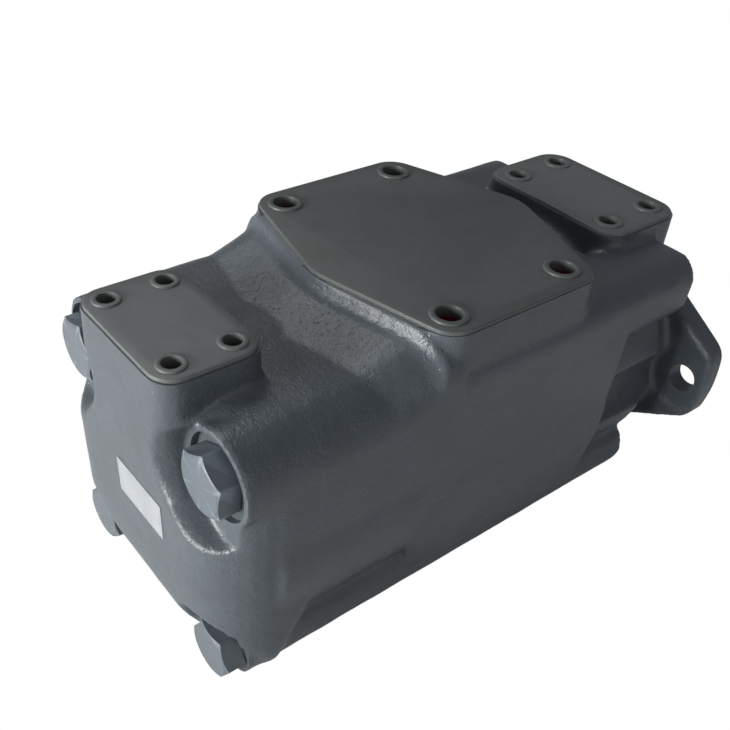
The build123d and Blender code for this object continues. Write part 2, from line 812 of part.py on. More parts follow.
with BuildPart() as shaft_seal:
    with BuildSketch(Plane.XZ):
        with BuildLine():
            Polyline(
                (seal_front, seal_outside / 2),
                (seal_rear, seal_outside / 2),
                (seal_rear, seal_outside / 2 - seal_wall),
                (seal_front - seal_web, seal_outside / 2 - seal_wall),
                (seal_front - seal_web, seal_bore / 2 + seal_wall),
                (seal_rear + seal_lip_gap, seal_bore / 2 + seal_web),
                (seal_rear + seal_lip_gap, seal_bore / 2),
                (seal_front, seal_bore / 2 + seal_lip_flare),
                close=True,
            )
        make_face()
    revolve(axis=Axis.X)
finish(shaft_seal.part, "shaft_seal", 0.06, 0.06, 0.06)

with BuildPart() as rear_bush:
    with BuildSketch(cross_plane(bush_rear)):
        Circle(rear_bush_outside / 2)
        Circle(journal_diameter / 2 + running_fit, mode=Mode.SUBTRACT)
    extrude(amount=rear_bush_length)
finish(rear_bush.part, "rear_bush", 0.66, 0.50, 0.24)

# ---------------------------------------------------------------- pumping cartridges


def cam_track(minor, major):
    """Closed double-lobed track: four constant-radius dwells joined by smooth rises and falls."""
    half = dwell_angle / 2
    radii = (major, minor, major, minor)
    for index, radius in enumerate(radii):
        start = 90 * index - half
        CenterArc((0, 0), radius, start, dwell_angle)
        leave = math.radians(start + dwell_angle)
        arrive = math.radians(90 * (index + 1) - half)
        following = radii[(index + 1) % 4]
        Spline(
            (radius * math.cos(leave), radius * math.sin(leave)),
            (following * math.cos(arrive), following * math.sin(arrive)),
            tangents=[
                (-math.sin(leave), math.cos(leave)),
                (-math.sin(arrive), math.cos(arrive)),
            ],
        )


def along_x(start, stop):
    """Plane at the lower X of a stretch, and the stretch's length."""
    return cross_plane(min(start, stop)), abs(stop - start)


def kidney_ports(plane, radius, first_angle):
    """The two opposite kidney-shaped ports of a side plate."""
    with BuildSketch(plane) as kidneys:
        for angle in (first_angle, first_angle + 180):
            arc = Edge.make_circle(
                radius, start_angle=angle - kidney_sweep / 2, end_angle=angle + kidney_sweep / 2
            )
            SlotArc(arc, kidney_width)
    return kidneys.sketch


def vane_profile(tip, height):
    """Section of one vane that stands along x, with a sealing lip on each edge of its tip."""
    half = vane_thickness / 2
    with BuildSketch() as profile:
        with BuildLine():
            Polyline(
                (tip - height, -half),
                (tip, -half),
                (tip - vane_lip / 2, -half + vane_lip),
                (tip - vane_lip / 2, half - vane_lip),
                (tip, half),
                (tip - height, half),
                close=True,
            )
        make_face()
    return profile.sketch


def make_cartridge(
    name, ring_front, ring_thickness, ring_outside, minor, major, plate_diameter,
    pressure_plate, port_plate, hub_diameter, hub_length, vane_height, front_is_pressure,
):
    """Write every piece of one vane cartridge."""
    outward = 1 if front_is_pressure else -1
    ring_rear = ring_front - ring_thickness
    pressure_side = ring_front if front_is_pressure else ring_rear
    suction_side = ring_rear if front_is_pressure else ring_front
    plate_outer_face = pressure_side + outward * pressure_plate
    port_outer_face = suction_side - outward * port_plate
    hub_end = plate_outer_face + outward * hub_length
    fastener_radius = (ring_outside / 2 + minor) / 2 + 1
    rotor_radius = minor - rotor_clearance
    kidney_radius = rotor_radius
    dowel_angles = (90, 270)
    screw_angles = [a + side * screw_angle for a in dowel_angles for side in (-1, 1)]
    dowel_places = [
        (fastener_radius * math.cos(math.radians(a)), fastener_radius * math.sin(math.radians(a)))
        for a in dowel_angles
    ]
    screw_places = [
        (fastener_radius * math.cos(math.radians(a)), fastener_radius * math.sin(math.radians(a)))
        for a in screw_angles
    ]

    with BuildPart() as cam_ring:
        with BuildSketch(cross_plane(ring_rear)):
            Circle(ring_outside / 2)
            with BuildLine():
                cam_track(minor, major)
            make_face(mode=Mode.SUBTRACT)
            with Locations(*dowel_places):
                Circle(dowel_diameter / 2, mode=Mode.SUBTRACT)
            with Locations(*screw_places):
                Circle(cartridge_screw_diameter / 2 + close_fit, mode=Mode.SUBTRACT)
        extrude(amount=ring_thickness)
    finish(cam_ring.part, f"{name}_cam_ring", 0.58, 0.60, 0.64)

    with BuildPart() as plate:
        plane, length = along_x(pressure_side, plate_outer_face)
        with BuildSketch(plane):
            Circle(plate_diameter / 2)
        extrude(amount=length)
        plane, length = along_x(plate_outer_face, hub_end)
        with BuildSketch(plane):
            Circle(hub_diameter / 2)
        extrude(amount=length)
        # step for the hub seal
        plane, length = along_x(hub_end, hub_end - outward * hub_seal_section)
        with BuildSketch(plane):
            Circle(hub_diameter / 2)
            Circle(hub_diameter / 2 - hub_seal_section, mode=Mode.SUBTRACT)
        extrude(amount=length, mode=Mode.SUBTRACT)
        plane, length = along_x(pressure_side, hub_end)
        with BuildSketch(plane):
            Circle(seal_bore / 2 + plate_bore_clearance)
            add(kidney_ports(plane, kidney_radius, port_kidney_angles[0]))
        extrude(amount=length, mode=Mode.SUBTRACT)
        plane, length = along_x(pressure_side, plate_outer_face - outward * hub_seal_section)
        with BuildSketch(plane):
            with Locations(*dowel_places):
                Circle(dowel_diameter / 2)
            with Locations(*screw_places):
                Circle(cartridge_screw_diameter / 2 + close_fit)
        extrude(amount=length, mode=Mode.SUBTRACT)
    finish(plate.part, f"{name}_pressure_plate", 0.50, 0.51, 0.53)

    with BuildPart() as port:
        plane, length = along_x(port_outer_face, suction_side)
        with BuildSketch(plane):
            Circle(plate_diameter / 2)
            Circle(shaft_neck_diameter / 2 + plate_bore_clearance, mode=Mode.SUBTRACT)
            with Locations(*dowel_places):
                Circle(dowel_diameter / 2, mode=Mode.SUBTRACT)
            with Locations(*screw_places):
                Circle(cartridge_screw_diameter / 2 + close_fit, mode=Mode.SUBTRACT)
            add(kidney_ports(plane, kidney_radius, port_kidney_angles[1]), mode=Mode.SUBTRACT)
        extrude(amount=length)
        head_floor = port_outer_face + outward * cartridge_screw_head_height
        plane, length = along_x(port_outer_face, head_floor)
        with BuildSketch(plane):
            with Locations(*screw_places):
                Circle(cartridge_screw_head / 2 + close_fit)
        extrude(amount=length, mode=Mode.SUBTRACT)
    finish(port.part, f"{name}_port_plate", 0.50, 0.51, 0.53)

    with BuildPart() as dowels:
        plane, length = along_x(
            port_outer_face + outward * dowel_set_back, plate_outer_face - outward * hub_seal_section
        )
        with BuildSketch(plane):
            with Locations(*dowel_places):
                Circle(dowel_diameter / 2)
        extrude(amount=length)
    finish(dowels.part, f"{name}_dowels", 0.60, 0.60, 0.62)

    with BuildPart() as screws:
        plane, length = along_x(
            port_outer_face + outward * cartridge_screw_head_height,
            plate_outer_face - outward * (hub_seal_section + screw_end_gap),
        )
        with BuildSketch(plane):
            with Locations(*screw_places):
                Circle(cartridge_screw_diameter / 2)
        extrude(amount=length)
        plane, length = along_x(
            port_outer_face, port_outer_face + outward * cartridge_screw_head_height
        )
        with BuildSketch(plane):
            with Locations(*screw_places):
                Circle(cartridge_screw_head / 2)
        extrude(amount=length)
    finish(screws.part, f"{name}_cartridge_screws", 0.12, 0.12, 0.13)

    seal_start = min(hub_end, hub_end - outward * hub_seal_section)
    finish(
        square_ring(
            seal_start, hub_diameter / 2 - hub_seal_section, hub_seal_section, hub_seal_section
        ),
        f"{name}_hub_seal", 0.05, 0.05, 0.05,
    )

    slot_bottom = rotor_radius - vane_height - slot_end_gap
    with BuildPart() as rotor:
        with BuildSketch(cross_plane(ring_rear + running_fit)):
            Circle(rotor_radius)
            add(spline_section(ring_rear + running_fit, running_fit), mode=Mode.SUBTRACT)
            with PolarLocations((slot_bottom + rotor_radius) / 2 + 1, vane_count):
                Rectangle(
                    rotor_radius - slot_bottom + 2,
                    vane_thickness + 2 * running_fit,
                    mode=Mode.SUBTRACT,
                )
            with PolarLocations(slot_bottom, vane_count):
                Circle(vane_slot_root, mode=Mode.SUBTRACT)
        extrude(amount=ring_thickness - 2 * running_fit)
    finish(rotor.part, f"{name}_rotor", 0.66, 0.67, 0.69)

    for index in range(vane_count):
        with BuildPart() as vane:
            with BuildSketch(cross_plane(ring_rear + running_fit)):
                add(vane_profile(rotor_radius - vane_tip_gap, vane_height), rotation=360 / vane_count * index)
            extrude(amount=ring_thickness - 2 * running_fit)
        finish(vane.part, f"{name}_vane_{index + 1:02d}", 0.72, 0.73, 0.75)


make_cartridge(
    "p1", p1_ring_front, p1_ring_thickness, p1_ring_outside, p1_minor_radius, p1_major_radius,
    p1_plate_diameter, p1_pressure_plate, p1_port_plate, p1_hub_diameter, p1_hub_length,
    p1_vane_height, True,
)
make_cartridge(
    "p2", p2_ring_front, p2_ring_thickness, p2_ring_outside, p2_minor_radius, p2_major_radius,
    p2_plate_diameter, p2_pressure_plate, p2_port_plate, p2_hub_diameter, p2_hub_length,
    p2_vane_height, False,
)

# ---------------------------------------------------------------- port covers


def port_cover(name, outline, centre_x, pad_height, bolts, plug):
    """Thin push-on cover with a hollow plug in each of the port's four bolt holes."""
    outside, inside, collar = plug
    with BuildPart() as cover:
        with BuildSketch(Plane.XY.offset(pad_height)):
            add(outline)
        extrude(amount=cover_thickness)
        with BuildSketch(Plane(origin=(centre_x, 0, pad_height))):
            with Locations(*bolt_grid(bolts)):
                Circle(collar / 2)
        extrude(amount=cover_thickness + cover_ring_height)
        with BuildSketch(Plane(origin=(centre_x, 0, pad_height))):
            with Locations(*bolt_grid(bolts)):
                Circle(outside / 2)
        extrude(amount=-plug_length)
        with BuildSketch(
            Plane(origin=(centre_x, 0, pad_height + cover_thickness + cover_ring_height))
        ):
            with Locations(*bolt_grid(bolts)):
                Circle(inside / 2)
        depth = cover_thickness + cover_ring_height + plug_length - plug_floor
        extrude(amount=-depth, mode=Mode.SUBTRACT)
    finish(cover.part, name, 0.26, 0.27, 0.28)


def pad_outline(centre_x, size, radius):
    """Rectangular cover outline on the XY plane."""
    with BuildSketch(Plane(origin=(centre_x, 0, 0))) as outline:
        RectangleRounded(size[0], size[1], radius)
    return outline.sketch


port_cover(
    "suction_port_cover",
    suction_outline(0, suction_half_width - cover_inset, inset=cover_inset),
    suction_x, suction_pad_height, suction_bolts, suction_plug,
)
port_cover(
    "p1_port_cover",
    pad_outline(p1_x, p1_pad_size, p1_pad_radius),
    p1_x, p1_pad_height, p1_bolts, p1_plug,
)
port_cover(
    "p2_port_cover",
    pad_outline(p2_x, p2_pad_size, p2_pad_radius),
    p2_x, p2_pad_height, p2_bolts, p2_plug,
)
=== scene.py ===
import json
import math

import bmesh
import bpy
from mathutils import Matrix, Vector


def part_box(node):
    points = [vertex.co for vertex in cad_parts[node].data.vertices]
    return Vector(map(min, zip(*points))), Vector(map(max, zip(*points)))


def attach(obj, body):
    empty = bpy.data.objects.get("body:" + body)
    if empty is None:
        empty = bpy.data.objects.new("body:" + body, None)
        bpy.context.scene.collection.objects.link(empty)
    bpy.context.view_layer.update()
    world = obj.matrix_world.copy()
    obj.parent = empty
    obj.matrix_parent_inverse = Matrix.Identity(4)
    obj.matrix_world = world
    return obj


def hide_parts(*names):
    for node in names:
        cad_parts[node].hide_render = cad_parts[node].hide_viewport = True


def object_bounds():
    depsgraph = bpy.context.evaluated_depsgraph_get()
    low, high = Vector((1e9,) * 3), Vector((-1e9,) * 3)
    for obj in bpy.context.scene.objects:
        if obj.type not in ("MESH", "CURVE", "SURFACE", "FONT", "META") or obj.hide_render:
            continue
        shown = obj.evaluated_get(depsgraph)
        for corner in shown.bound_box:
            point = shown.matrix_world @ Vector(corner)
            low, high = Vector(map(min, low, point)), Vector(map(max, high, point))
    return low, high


bl_info = {
    "name": "Tandem Vane Pump",
    "version": (1, 0, 0),
    "blender": (4, 5, 0),
    "location": "View3D > Sidebar > Vane Pump",
    "description": "Builds the castings, covers, bolts and finishes of a tandem vane pump",
    "category": "Object",
}

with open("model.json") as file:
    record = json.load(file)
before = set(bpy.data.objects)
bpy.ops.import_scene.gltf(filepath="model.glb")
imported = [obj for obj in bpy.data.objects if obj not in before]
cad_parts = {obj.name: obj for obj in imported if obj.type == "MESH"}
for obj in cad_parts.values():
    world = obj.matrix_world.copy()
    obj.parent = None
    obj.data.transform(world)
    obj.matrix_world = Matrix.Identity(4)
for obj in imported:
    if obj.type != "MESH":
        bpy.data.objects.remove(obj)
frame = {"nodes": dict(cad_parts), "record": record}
CAD_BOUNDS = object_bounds()
NODES = frame["nodes"]
MM = 0.001


# ---------------------------------------------------------------- places read from the frame


def low(name):
    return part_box(name)[0]


def high(name):
    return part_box(name)[1]


REAR_SEAM = low("centre_housing").x
FRONT_SEAM = high("centre_housing").x
REAR_FACE = REAR_SEAM - 54.5 * MM
BASE = low("centre_housing").z
PILOT_END = high("mounting_cap").x
PILOT_RADIUS = 63.5 * MM
OVERRUN = 9 * MM  # raw castings and cutters are this much longer than the machined faces

# Housing bolts: hex heads at the rear, socket heads at the drive end
BOLT_RADIUS = 10 * MM
TAP_RADIUS = 10.05 * MM
TAP_REACH = 44 * MM
BOLT_HOLE_RADIUS = 10.6 * MM
HEX_HEAD = 12.5 * MM
HEX_FLATS = 30 * MM
HEX_TURNS = (5, 20, 33, 50)  # degrees that each head stands turned by
SOCKET_HEAD = 21 * MM
SOCKET_RADIUS = 15 * MM
COUNTERBORE_RADIUS = 15.6 * MM
SPOTFACE_RADIUS = 21.5 * MM
BOLT_SEAT_FACE = low("rear_housing_bolts").x + HEX_HEAD
LOBE_END = -30 * MM
SOCKET_SEAT = LOBE_END - SOCKET_HEAD

# The bolts and their lobes lie this far from the shaft's axis, across and up
LOBE = (high("front_housing_bolts").y - low("front_housing_bolts").y) / 2 - SOCKET_RADIUS
UPPER_BOLTS = ((-LOBE, LOBE), (LOBE, LOBE))
LOWER_BOLTS = ((-LOBE, -LOBE), (LOBE, -LOBE))
ALL_BOLTS = UPPER_BOLTS + LOWER_BOLTS


# ---------------------------------------------------------------- settings


def size_setting(name, description, millimetres, **limits):
    return bpy.props.FloatProperty(
        name=name, description=description, default=millimetres * MM, unit="LENGTH", precision=5, **limits
    )


def colour_setting(name, description, default):
    return bpy.props.FloatVectorProperty(
        name=name, description=description, default=default, size=3, min=0, max=1, subtype="COLOR"
    )


class PumpCastingSettings(bpy.types.PropertyGroup):
    """Sizes of the three castings' outside."""

    voxel: size_setting("Skin resolution", "Grain of the cast skin's mesh", 1.7, min=1 * MM, max=6 * MM)
    blend_passes: bpy.props.IntProperty(
        name="Blend passes", description="How far cast corners are rounded off", default=4, min=0, max=40
    )
    unevenness: size_setting(
        "Unevenness", "Height of the slow waves left by the sand mould", 0.55, min=0, max=2 * MM
    )
    barrel_radius: size_setting("Barrel radius", "Radius of the round barrel", 83)
    swell_radius: size_setting(
        "Swell radius", "Radius of the fuller barrel behind the suction block", 85.5
    )
    upper_lobe: size_setting("Upper lobe radius", "Radius round the two upper housing bolts", 24.5)
    lower_lobe: size_setting("Lower lobe radius", "Radius round the two lower housing bolts", 19)
    deck: size_setting("Deck height", "Flat top between the upper lobes, over the shaft axis", 84)
    side: size_setting("Side", "Half width of the flat shoulders", 84)
    flare_reach: size_setting(
        "Flare reach", "How far the suction block's skirt runs out onto the deck", 30
    )


class PumpPaintSettings(bpy.types.PropertyGroup):
    """Colours of the finishes."""

    paint: colour_setting("Paint", "Charcoal paint of castings and bolt heads", (0.062, 0.074, 0.084))
    cover: colour_setting("Cover paint", "The paint on the smooth port covers", (0.069, 0.076, 0.074))
    plug: colour_setting("Cover plastic", "Bare plastic of the covers' plugs", (0.16, 0.012, 0.020))
    plate: colour_setting("Nameplate", "Bare plate on the rear face", (0.26, 0.27, 0.28))


class PumpStageSettings(bpy.types.PropertyGroup):
    """Light on the pump."""

    key_power: bpy.props.FloatProperty(
        name="Key light", description="Power of the light behind the rear face", default=46.0, min=0
    )
    fill_power: bpy.props.FloatProperty(
        name="Fill light", description="Power of the light over the long side", default=3.2, min=0
    )
    ambient: bpy.props.FloatProperty(
        name="Ambient", description="Strength of the even light from all round", default=0.24, min=0
    )


# ---------------------------------------------------------------- shader node groups


def group_tree(name, inputs, outputs):
    """A new shader node group with named sockets; returns it with its input and output nodes."""
    tree = bpy.data.node_groups.new(name, "ShaderNodeTree")
    for label, kind, value in inputs:
        socket = tree.interface.new_socket(name=label, in_out="INPUT", socket_type=kind)
        socket.default_value = value
    for label, kind in outputs:
        tree.interface.new_socket(name=label, in_out="OUTPUT", socket_type=kind)
    return tree, tree.nodes.new("NodeGroupInput"), tree.nodes.new("NodeGroupOutput")


def link(tree, start, end):
    tree.links.new(start, end)


def node(tree, kind, **values):
    """Add a node; keywords set its properties, or its inputs where the name is a socket's."""
    made = tree.nodes.new(kind)
    for key, value in values.items():
        if hasattr(made, key):
            setattr(made, key, value)
        else:
            made.inputs[key.replace("_", " ")].default_value = value
    return made


def math_node(tree, operation, first, second, clamp=False):
    made = node(tree, "ShaderNodeMath", operation=operation, use_clamp=clamp)
    for index, value in enumerate((first, second)):
        if isinstance(value, (int, float)):
            made.inputs[index].default_value = value
        else:
            link(tree, value, made.inputs[index])
    return made.outputs[0]


def sand_cast_group():
    """Height and tone of a painted sand-cast skin: fine grain, pits and slow waves."""
    tree, inputs, outputs = group_tree(
        "Sand cast skin",
        [("Vector", "NodeSocketVector", (0, 0, 0)), ("Grain", "NodeSocketFloat", 1.0),
         ("Pits", "NodeSocketFloat", 1.0)],
        [("Height", "NodeSocketFloat"), ("Tone", "NodeSocketFloat")],
    )
    fine = node(tree, "ShaderNodeTexNoise", Scale=900.0, Detail=3.0, Roughness=0.6)
    coarse = node(tree, "ShaderNodeTexNoise", Scale=260.0, Detail=4.0, Roughness=0.55)
    slow = node(tree, "ShaderNodeTexNoise", Scale=38.0, Detail=3.0, Roughness=0.5)
    pits = node(tree, "ShaderNodeTexVoronoi", Scale=330.0, Randomness=1.0)
    for texture in (fine, coarse, slow, pits):
        link(tree, inputs.outputs["Vector"], texture.inputs["Vector"])
    grain = math_node(tree, "ADD", fine.outputs[0], math_node(tree, "MULTIPLY", coarse.outputs[0], 1.6))
    grain = math_node(tree, "MULTIPLY", grain, inputs.outputs["Grain"])
    hollow = math_node(tree, "SUBTRACT", 0.30, pits.outputs["Distance"], clamp=True)
    seldom = math_node(tree, "GREATER_THAN", slow.outputs[0], 0.52)
    hollow = math_node(tree, "MULTIPLY", math_node(tree, "MULTIPLY", hollow, seldom), inputs.outputs["Pits"])
    height = math_node(tree, "SUBTRACT", grain, math_node(tree, "MULTIPLY", hollow, 3.0))
    link(tree, height, outputs.inputs["Height"])
    tone = math_node(tree, "ADD", math_node(tree, "MULTIPLY", slow.outputs[0], 0.6),
                     math_node(tree, "MULTIPLY", coarse.outputs[0], 0.4))
    link(tree, tone, outputs.inputs["Tone"])
    return tree


def edge_wear_and_highlight_group():
    """Mask of the sharp outer edges, broken up by noise: rubbed paint, and a painted highlight where the
    edges catch light.
    """
    tree, inputs, outputs = group_tree(
        "Edge rub",
        [("Vector", "NodeSocketVector", (0, 0, 0)), ("Amount", "NodeSocketFloat", 1.0)],
        [("Mask", "NodeSocketFloat")],
    )
    geometry = node(tree, "ShaderNodeNewGeometry")
    broken = node(tree, "ShaderNodeTexNoise", Scale=120.0, Detail=4.0, Roughness=0.65)
    link(tree, inputs.outputs["Vector"], broken.inputs["Vector"])
    edges = node(tree, "ShaderNodeMapRange", From_Min=0.53, From_Max=0.62)
    link(tree, geometry.outputs["Pointiness"], edges.inputs["Value"])
    mask = math_node(tree, "MULTIPLY", edges.outputs[0], broken.outputs[0])
    mask = math_node(tree, "MULTIPLY", mask, inputs.outputs["Amount"], clamp=True)
    link(tree, mask, outputs.inputs["Mask"])
    return tree


def machined_group():
    """Fine machining lines as a height, and slow blotches as a tone."""
    tree, inputs, outputs = group_tree(
        "Machining lines",
        [("Vector", "NodeSocketVector", (0, 0, 0)), ("Pitch", "NodeSocketFloat", 900.0)],
        [("Height", "NodeSocketFloat"), ("Tone", "NodeSocketFloat")],
    )
    lines = node(tree, "ShaderNodeTexNoise", Detail=2.0, Roughness=0.7, Scale=1.0)
    stretch = node(tree, "ShaderNodeVectorMath", operation="MULTIPLY")
    stretch.inputs[1].default_value = (1.0, 0.02, 0.02)
    scaled = node(tree, "ShaderNodeVectorMath", operation="SCALE")
    link(tree, inputs.outputs["Vector"], stretch.inputs[0])
    link(tree, stretch.outputs[0], scaled.inputs[0])
    link(tree, inputs.outputs["Pitch"], scaled.inputs["Scale"])
    link(tree, scaled.outputs[0], lines.inputs["Vector"])
    blotch = node(tree, "ShaderNodeTexNoise", Detail=3.0, Roughness=0.5, Scale=45.0)
    link(tree, inputs.outputs["Vector"], blotch.inputs["Vector"])
    link(tree, lines.outputs[0], outputs.inputs["Height"])
    link(tree, blotch.outputs[0], outputs.inputs["Tone"])
    return tree


GROUP_MAKERS = {"sand": sand_cast_group, "rub": edge_wear_and_highlight_group, "lines": machined_group}
GROUPS = {}


def place_group(tree, name, vector, **values):
    """Put the one node group of that name, made on first use, into a material with its own values."""
    if name not in GROUPS:
        GROUPS[name] = GROUP_MAKERS[name]()
    made = node(tree, "ShaderNodeGroup", node_tree=GROUPS[name])
    link(tree, vector, made.inputs["Vector"])
    for key, value in values.items():
        made.inputs[key].default_value = value
    return made


# ---------------------------------------------------------------- finishes


def new_material(name):
    """Material with a Principled shader; returns it with its tree, shader and object coordinates."""
    material = bpy.data.materials.new(name)
    material.use_nodes = True
    tree = material.node_tree
    shader = tree.nodes["Principled BSDF"]
    place = tree.nodes.new("ShaderNodeTexCoord").outputs["Object"]
    return material, tree, shader, place


def tone_ramp(tree, factor, dark, light):
    """Colour that runs from dark to light over the middle of a factor's range."""
    ramp = node(tree, "ShaderNodeValToRGB")
    for element, position, colour in zip(ramp.color_ramp.elements, (0.3, 0.7), (dark, light)):
        element.position = position
        element.color = (*colour, 1)
    link(tree, factor, ramp.inputs[0])
    return ramp.outputs[0]


def scaled_colour(colour, factor):
    return tuple(min(1.0, channel * factor) for channel in colour)


def finish_skin(tree, shader, factor, gloss, height, depth):
    """Roughness between two values by a factor, and a bump of a depth in millimetres by a height."""
    rough = node(tree, "ShaderNodeMapRange", To_Min=gloss[0], To_Max=gloss[1])
    link(tree, factor, rough.inputs["Value"])
    link(tree, rough.outputs[0], shader.inputs["Roughness"])
    bump = node(tree, "ShaderNodeBump", Strength=1.0, Distance=depth * MM)
    link(tree, height, bump.inputs["Height"])
    link(tree, bump.outputs[0], shader.inputs["Normal"])


def painted(name, colour, grain, pits, depth, gloss, rub):
    """Satin paint over a cast, moulded or machined surface, paled along sharp edges by rubbed paint and a
    painted highlight.
    """
    material, tree, shader, place = new_material(name)
    skin = place_group(tree, "sand", place, Grain=grain, Pits=pits)
    edge = place_group(tree, "rub", place, Amount=rub)
    base = tone_ramp(tree, skin.outputs["Tone"], scaled_colour(colour, 0.86), scaled_colour(colour, 1.14))
    # sharp edges turn paler: partly rubbed paint, partly a painted highlight along the edges
    worn_and_highlit = node(tree, "ShaderNodeMix", data_type="RGBA")
    worn_and_highlit.inputs[7].default_value = (*scaled_colour(colour, 3.2), 1)
    link(tree, edge.outputs["Mask"], worn_and_highlit.inputs[0])
    link(tree, base, worn_and_highlit.inputs[6])
    link(tree, worn_and_highlit.outputs[2], shader.inputs["Base Color"])
    finish_skin(tree, shader, skin.outputs["Tone"], gloss, skin.outputs["Height"], depth)
    return material


def metal(name, colour, roughness, metallic=1.0):
    """Machined or ground metal with fine lines."""
    material, tree, shader, place = new_material(name)
    lines = place_group(tree, "lines", place, Pitch=900.0)
    base = tone_ramp(tree, lines.outputs["Tone"], scaled_colour(colour, 0.85), scaled_colour(colour, 1.1))
    link(tree, base, shader.inputs["Base Color"])
    shader.inputs["Metallic"].default_value = metallic
    gloss = (roughness - 0.08, roughness + 0.08)
    finish_skin(tree, shader, lines.outputs["Height"], gloss, lines.outputs["Height"], 0.03)
    return material


def moulded(name, colour, roughness, depth=0.04, scale=500.0):
    """Moulded plastic, rubber or plain sheet with a faint skin."""
    material, tree, shader, place = new_material(name)
    skin = node(tree, "ShaderNodeTexNoise", Scale=scale, Detail=3.0, Roughness=0.6).outputs[0]
    link(tree, place, skin.node.inputs["Vector"])
    base = tone_ramp(tree, skin, scaled_colour(colour, 0.9), scaled_colour(colour, 1.1))
    link(tree, base, shader.inputs["Base Color"])
    finish_skin(tree, shader, skin, (roughness - 0.07, roughness + 0.07), skin, depth)
    return material


def tint(setting, factor=1.0):
    return scaled_colour(getattr(bpy.context.scene.pump_paint, setting), factor)


FINISH_MAKERS = {
    "cast_paint": lambda: painted(
        "charcoal_cast_paint", tint("paint"), grain=1.0, pits=1.0, depth=0.22, gloss=(0.27, 0.44), rub=0.35
    ),
    "machined_paint": lambda: painted(
        "charcoal_machined_paint", tint("paint"), grain=0.6, pits=0.0, depth=0.08, gloss=(0.34, 0.50), rub=0.0
    ),
    "cover_paint": lambda: painted(
        "charcoal_cover_paint", tint("cover"), grain=0.5, pits=0.0, depth=0.06, gloss=(0.42, 0.55), rub=0.35
    ),
    # painted light: the small covers take the covers' own paint made lighter, for the light their tops catch
    "small_cover_paint": lambda: painted(
        "charcoal_small_cover_paint", tint("cover", 1.35),
        grain=0.5, pits=0.0, depth=0.06, gloss=(0.42, 0.55), rub=0.35,
    ),
    "bolt_paint": lambda: painted(
        "charcoal_bolt_paint", tint("paint", 1.25),
        grain=0.7, pits=0.0, depth=0.07, gloss=(0.34, 0.48), rub=0.8,
    ),
    "plug_red": lambda: moulded("red_cover_plastic", tint("plug"), 0.45),
    "bare_plate": lambda: moulded("bare_nameplate", tint("plate"), 0.5, depth=0.01, scale=90.0),
    "rubber": lambda: moulded("seal_rubber", (0.018, 0.018, 0.02), 0.55),
    "ground": lambda: metal("ground_steel", (0.56, 0.57, 0.58), 0.24),
    "polished": lambda: metal("polished_steel", (0.63, 0.64, 0.66), 0.16),
    "ground_iron": lambda: metal("ground_iron", (0.40, 0.41, 0.43), 0.36),
    "bare_iron": lambda: metal("bored_iron", (0.30, 0.31, 0.32), 0.40),
    "black": lambda: metal("black_oxide", (0.045, 0.045, 0.05), 0.42, metallic=0.85),
    "spring": lambda: metal("spring_steel", (0.18, 0.18, 0.19), 0.38),
    "bronze": lambda: metal("bronze", (0.55, 0.36, 0.15), 0.28),
}
MATERIALS = {}


def finish_named(name):
    """The one material of that name, made on first use."""
    if name not in MATERIALS:
        MATERIALS[name] = FINISH_MAKERS[name]()
    return MATERIALS[name]


# ---------------------------------------------------------------- mesh helpers


def circle_points(y, z, radius, steps=72, turn=0.0):
    angles = [turn + 2 * math.pi * i / steps for i in range(steps)]
    return [(y + radius * math.cos(a), z + radius * math.sin(a)) for a in angles]


def loop_of(bm, points):
    """Closed loop of edges through the points; returns its vertices and edges."""
    verts = [bm.verts.new(point) for point in points]
    return verts, [bm.edges.new(pair) for pair in zip(verts, verts[1:] + verts[:1])]


def sweep(bm, faces, move):
    """Extrude faces into a closed solid by a move."""
    swept = bmesh.ops.extrude_face_region(bm, geom=faces)["geom"]
    ends = [item for item in swept if isinstance(item, bmesh.types.BMVert)]
    bmesh.ops.translate(bm, verts=ends, vec=move)


def bar(bm, outline, start, stop):
    """Closed bar along the shaft: an outline of (y, z) points, swept from start to stop."""
    face = bm.faces.new([bm.verts.new((start, y, z)) for y, z in outline])
    sweep(bm, [face], (stop - start, 0, 0))


def stack(bm, rings):
    """Closed skin through rings of equally many points, capped at both ends."""
    loops = [loop_of(bm, ring) for ring in rings]
    for (_, lower), (_, upper) in zip(loops, loops[1:]):
        bmesh.ops.bridge_loops(bm, edges=lower + upper)
    bm.faces.new(loops[0][0])
    bm.faces.new(loops[-1][0])


def revolve(bm, points, centre, axis, steps, hollow):
    """Spin a profile about an axis; a hollow solid's profile is closed on itself."""
    verts = [bm.verts.new(point) for point in points]
    edges = [bm.edges.new(pair) for pair in zip(verts, verts[1:])]
    if hollow:
        edges.append(bm.edges.new((verts[-1], verts[0])))
    bmesh.ops.spin(
        bm, geom=verts + edges, cent=centre, axis=axis, angle=2 * math.pi, steps=steps, use_merge=True
    )


def lathe(bm, profile, centre=(0, 0), steps=96):
    """Solid of revolution about a line along X through centre (y, z); profile is (x, radius)."""
    points = [(x, centre[0] + radius, centre[1]) for x, radius in profile]
    hollow = profile[0][1] > 0 and profile[-1][1] > 0
    revolve(bm, points, (0, *centre), (1, 0, 0), steps, hollow)


def upright_lathe(bm, profile, centre, steps=64):
    """Solid of revolution about a vertical line through centre (x, y); profile is (radius, z)."""
    points = [(centre[0] + radius, centre[1], z) for radius, z in profile]
    hollow = profile[0][0] > 0 and profile[-1][0] > 0
    revolve(bm, points, (*centre, 0), (0, 0, 1), steps, hollow)


def tidy(bm):
    bmesh.ops.remove_doubles(bm, verts=bm.verts, dist=1e-6)
    bmesh.ops.recalc_face_normals(bm, faces=bm.faces)


def chamfer(bm, edges, size, segments):
    """Break the edges with a bevel of the given size."""
    bmesh.ops.bevel(
        bm, geom=edges, offset=size, offset_type="OFFSET", segments=segments, profile=0.5,
        affect="EDGES", material=-1, clamp_overlap=True,
    )


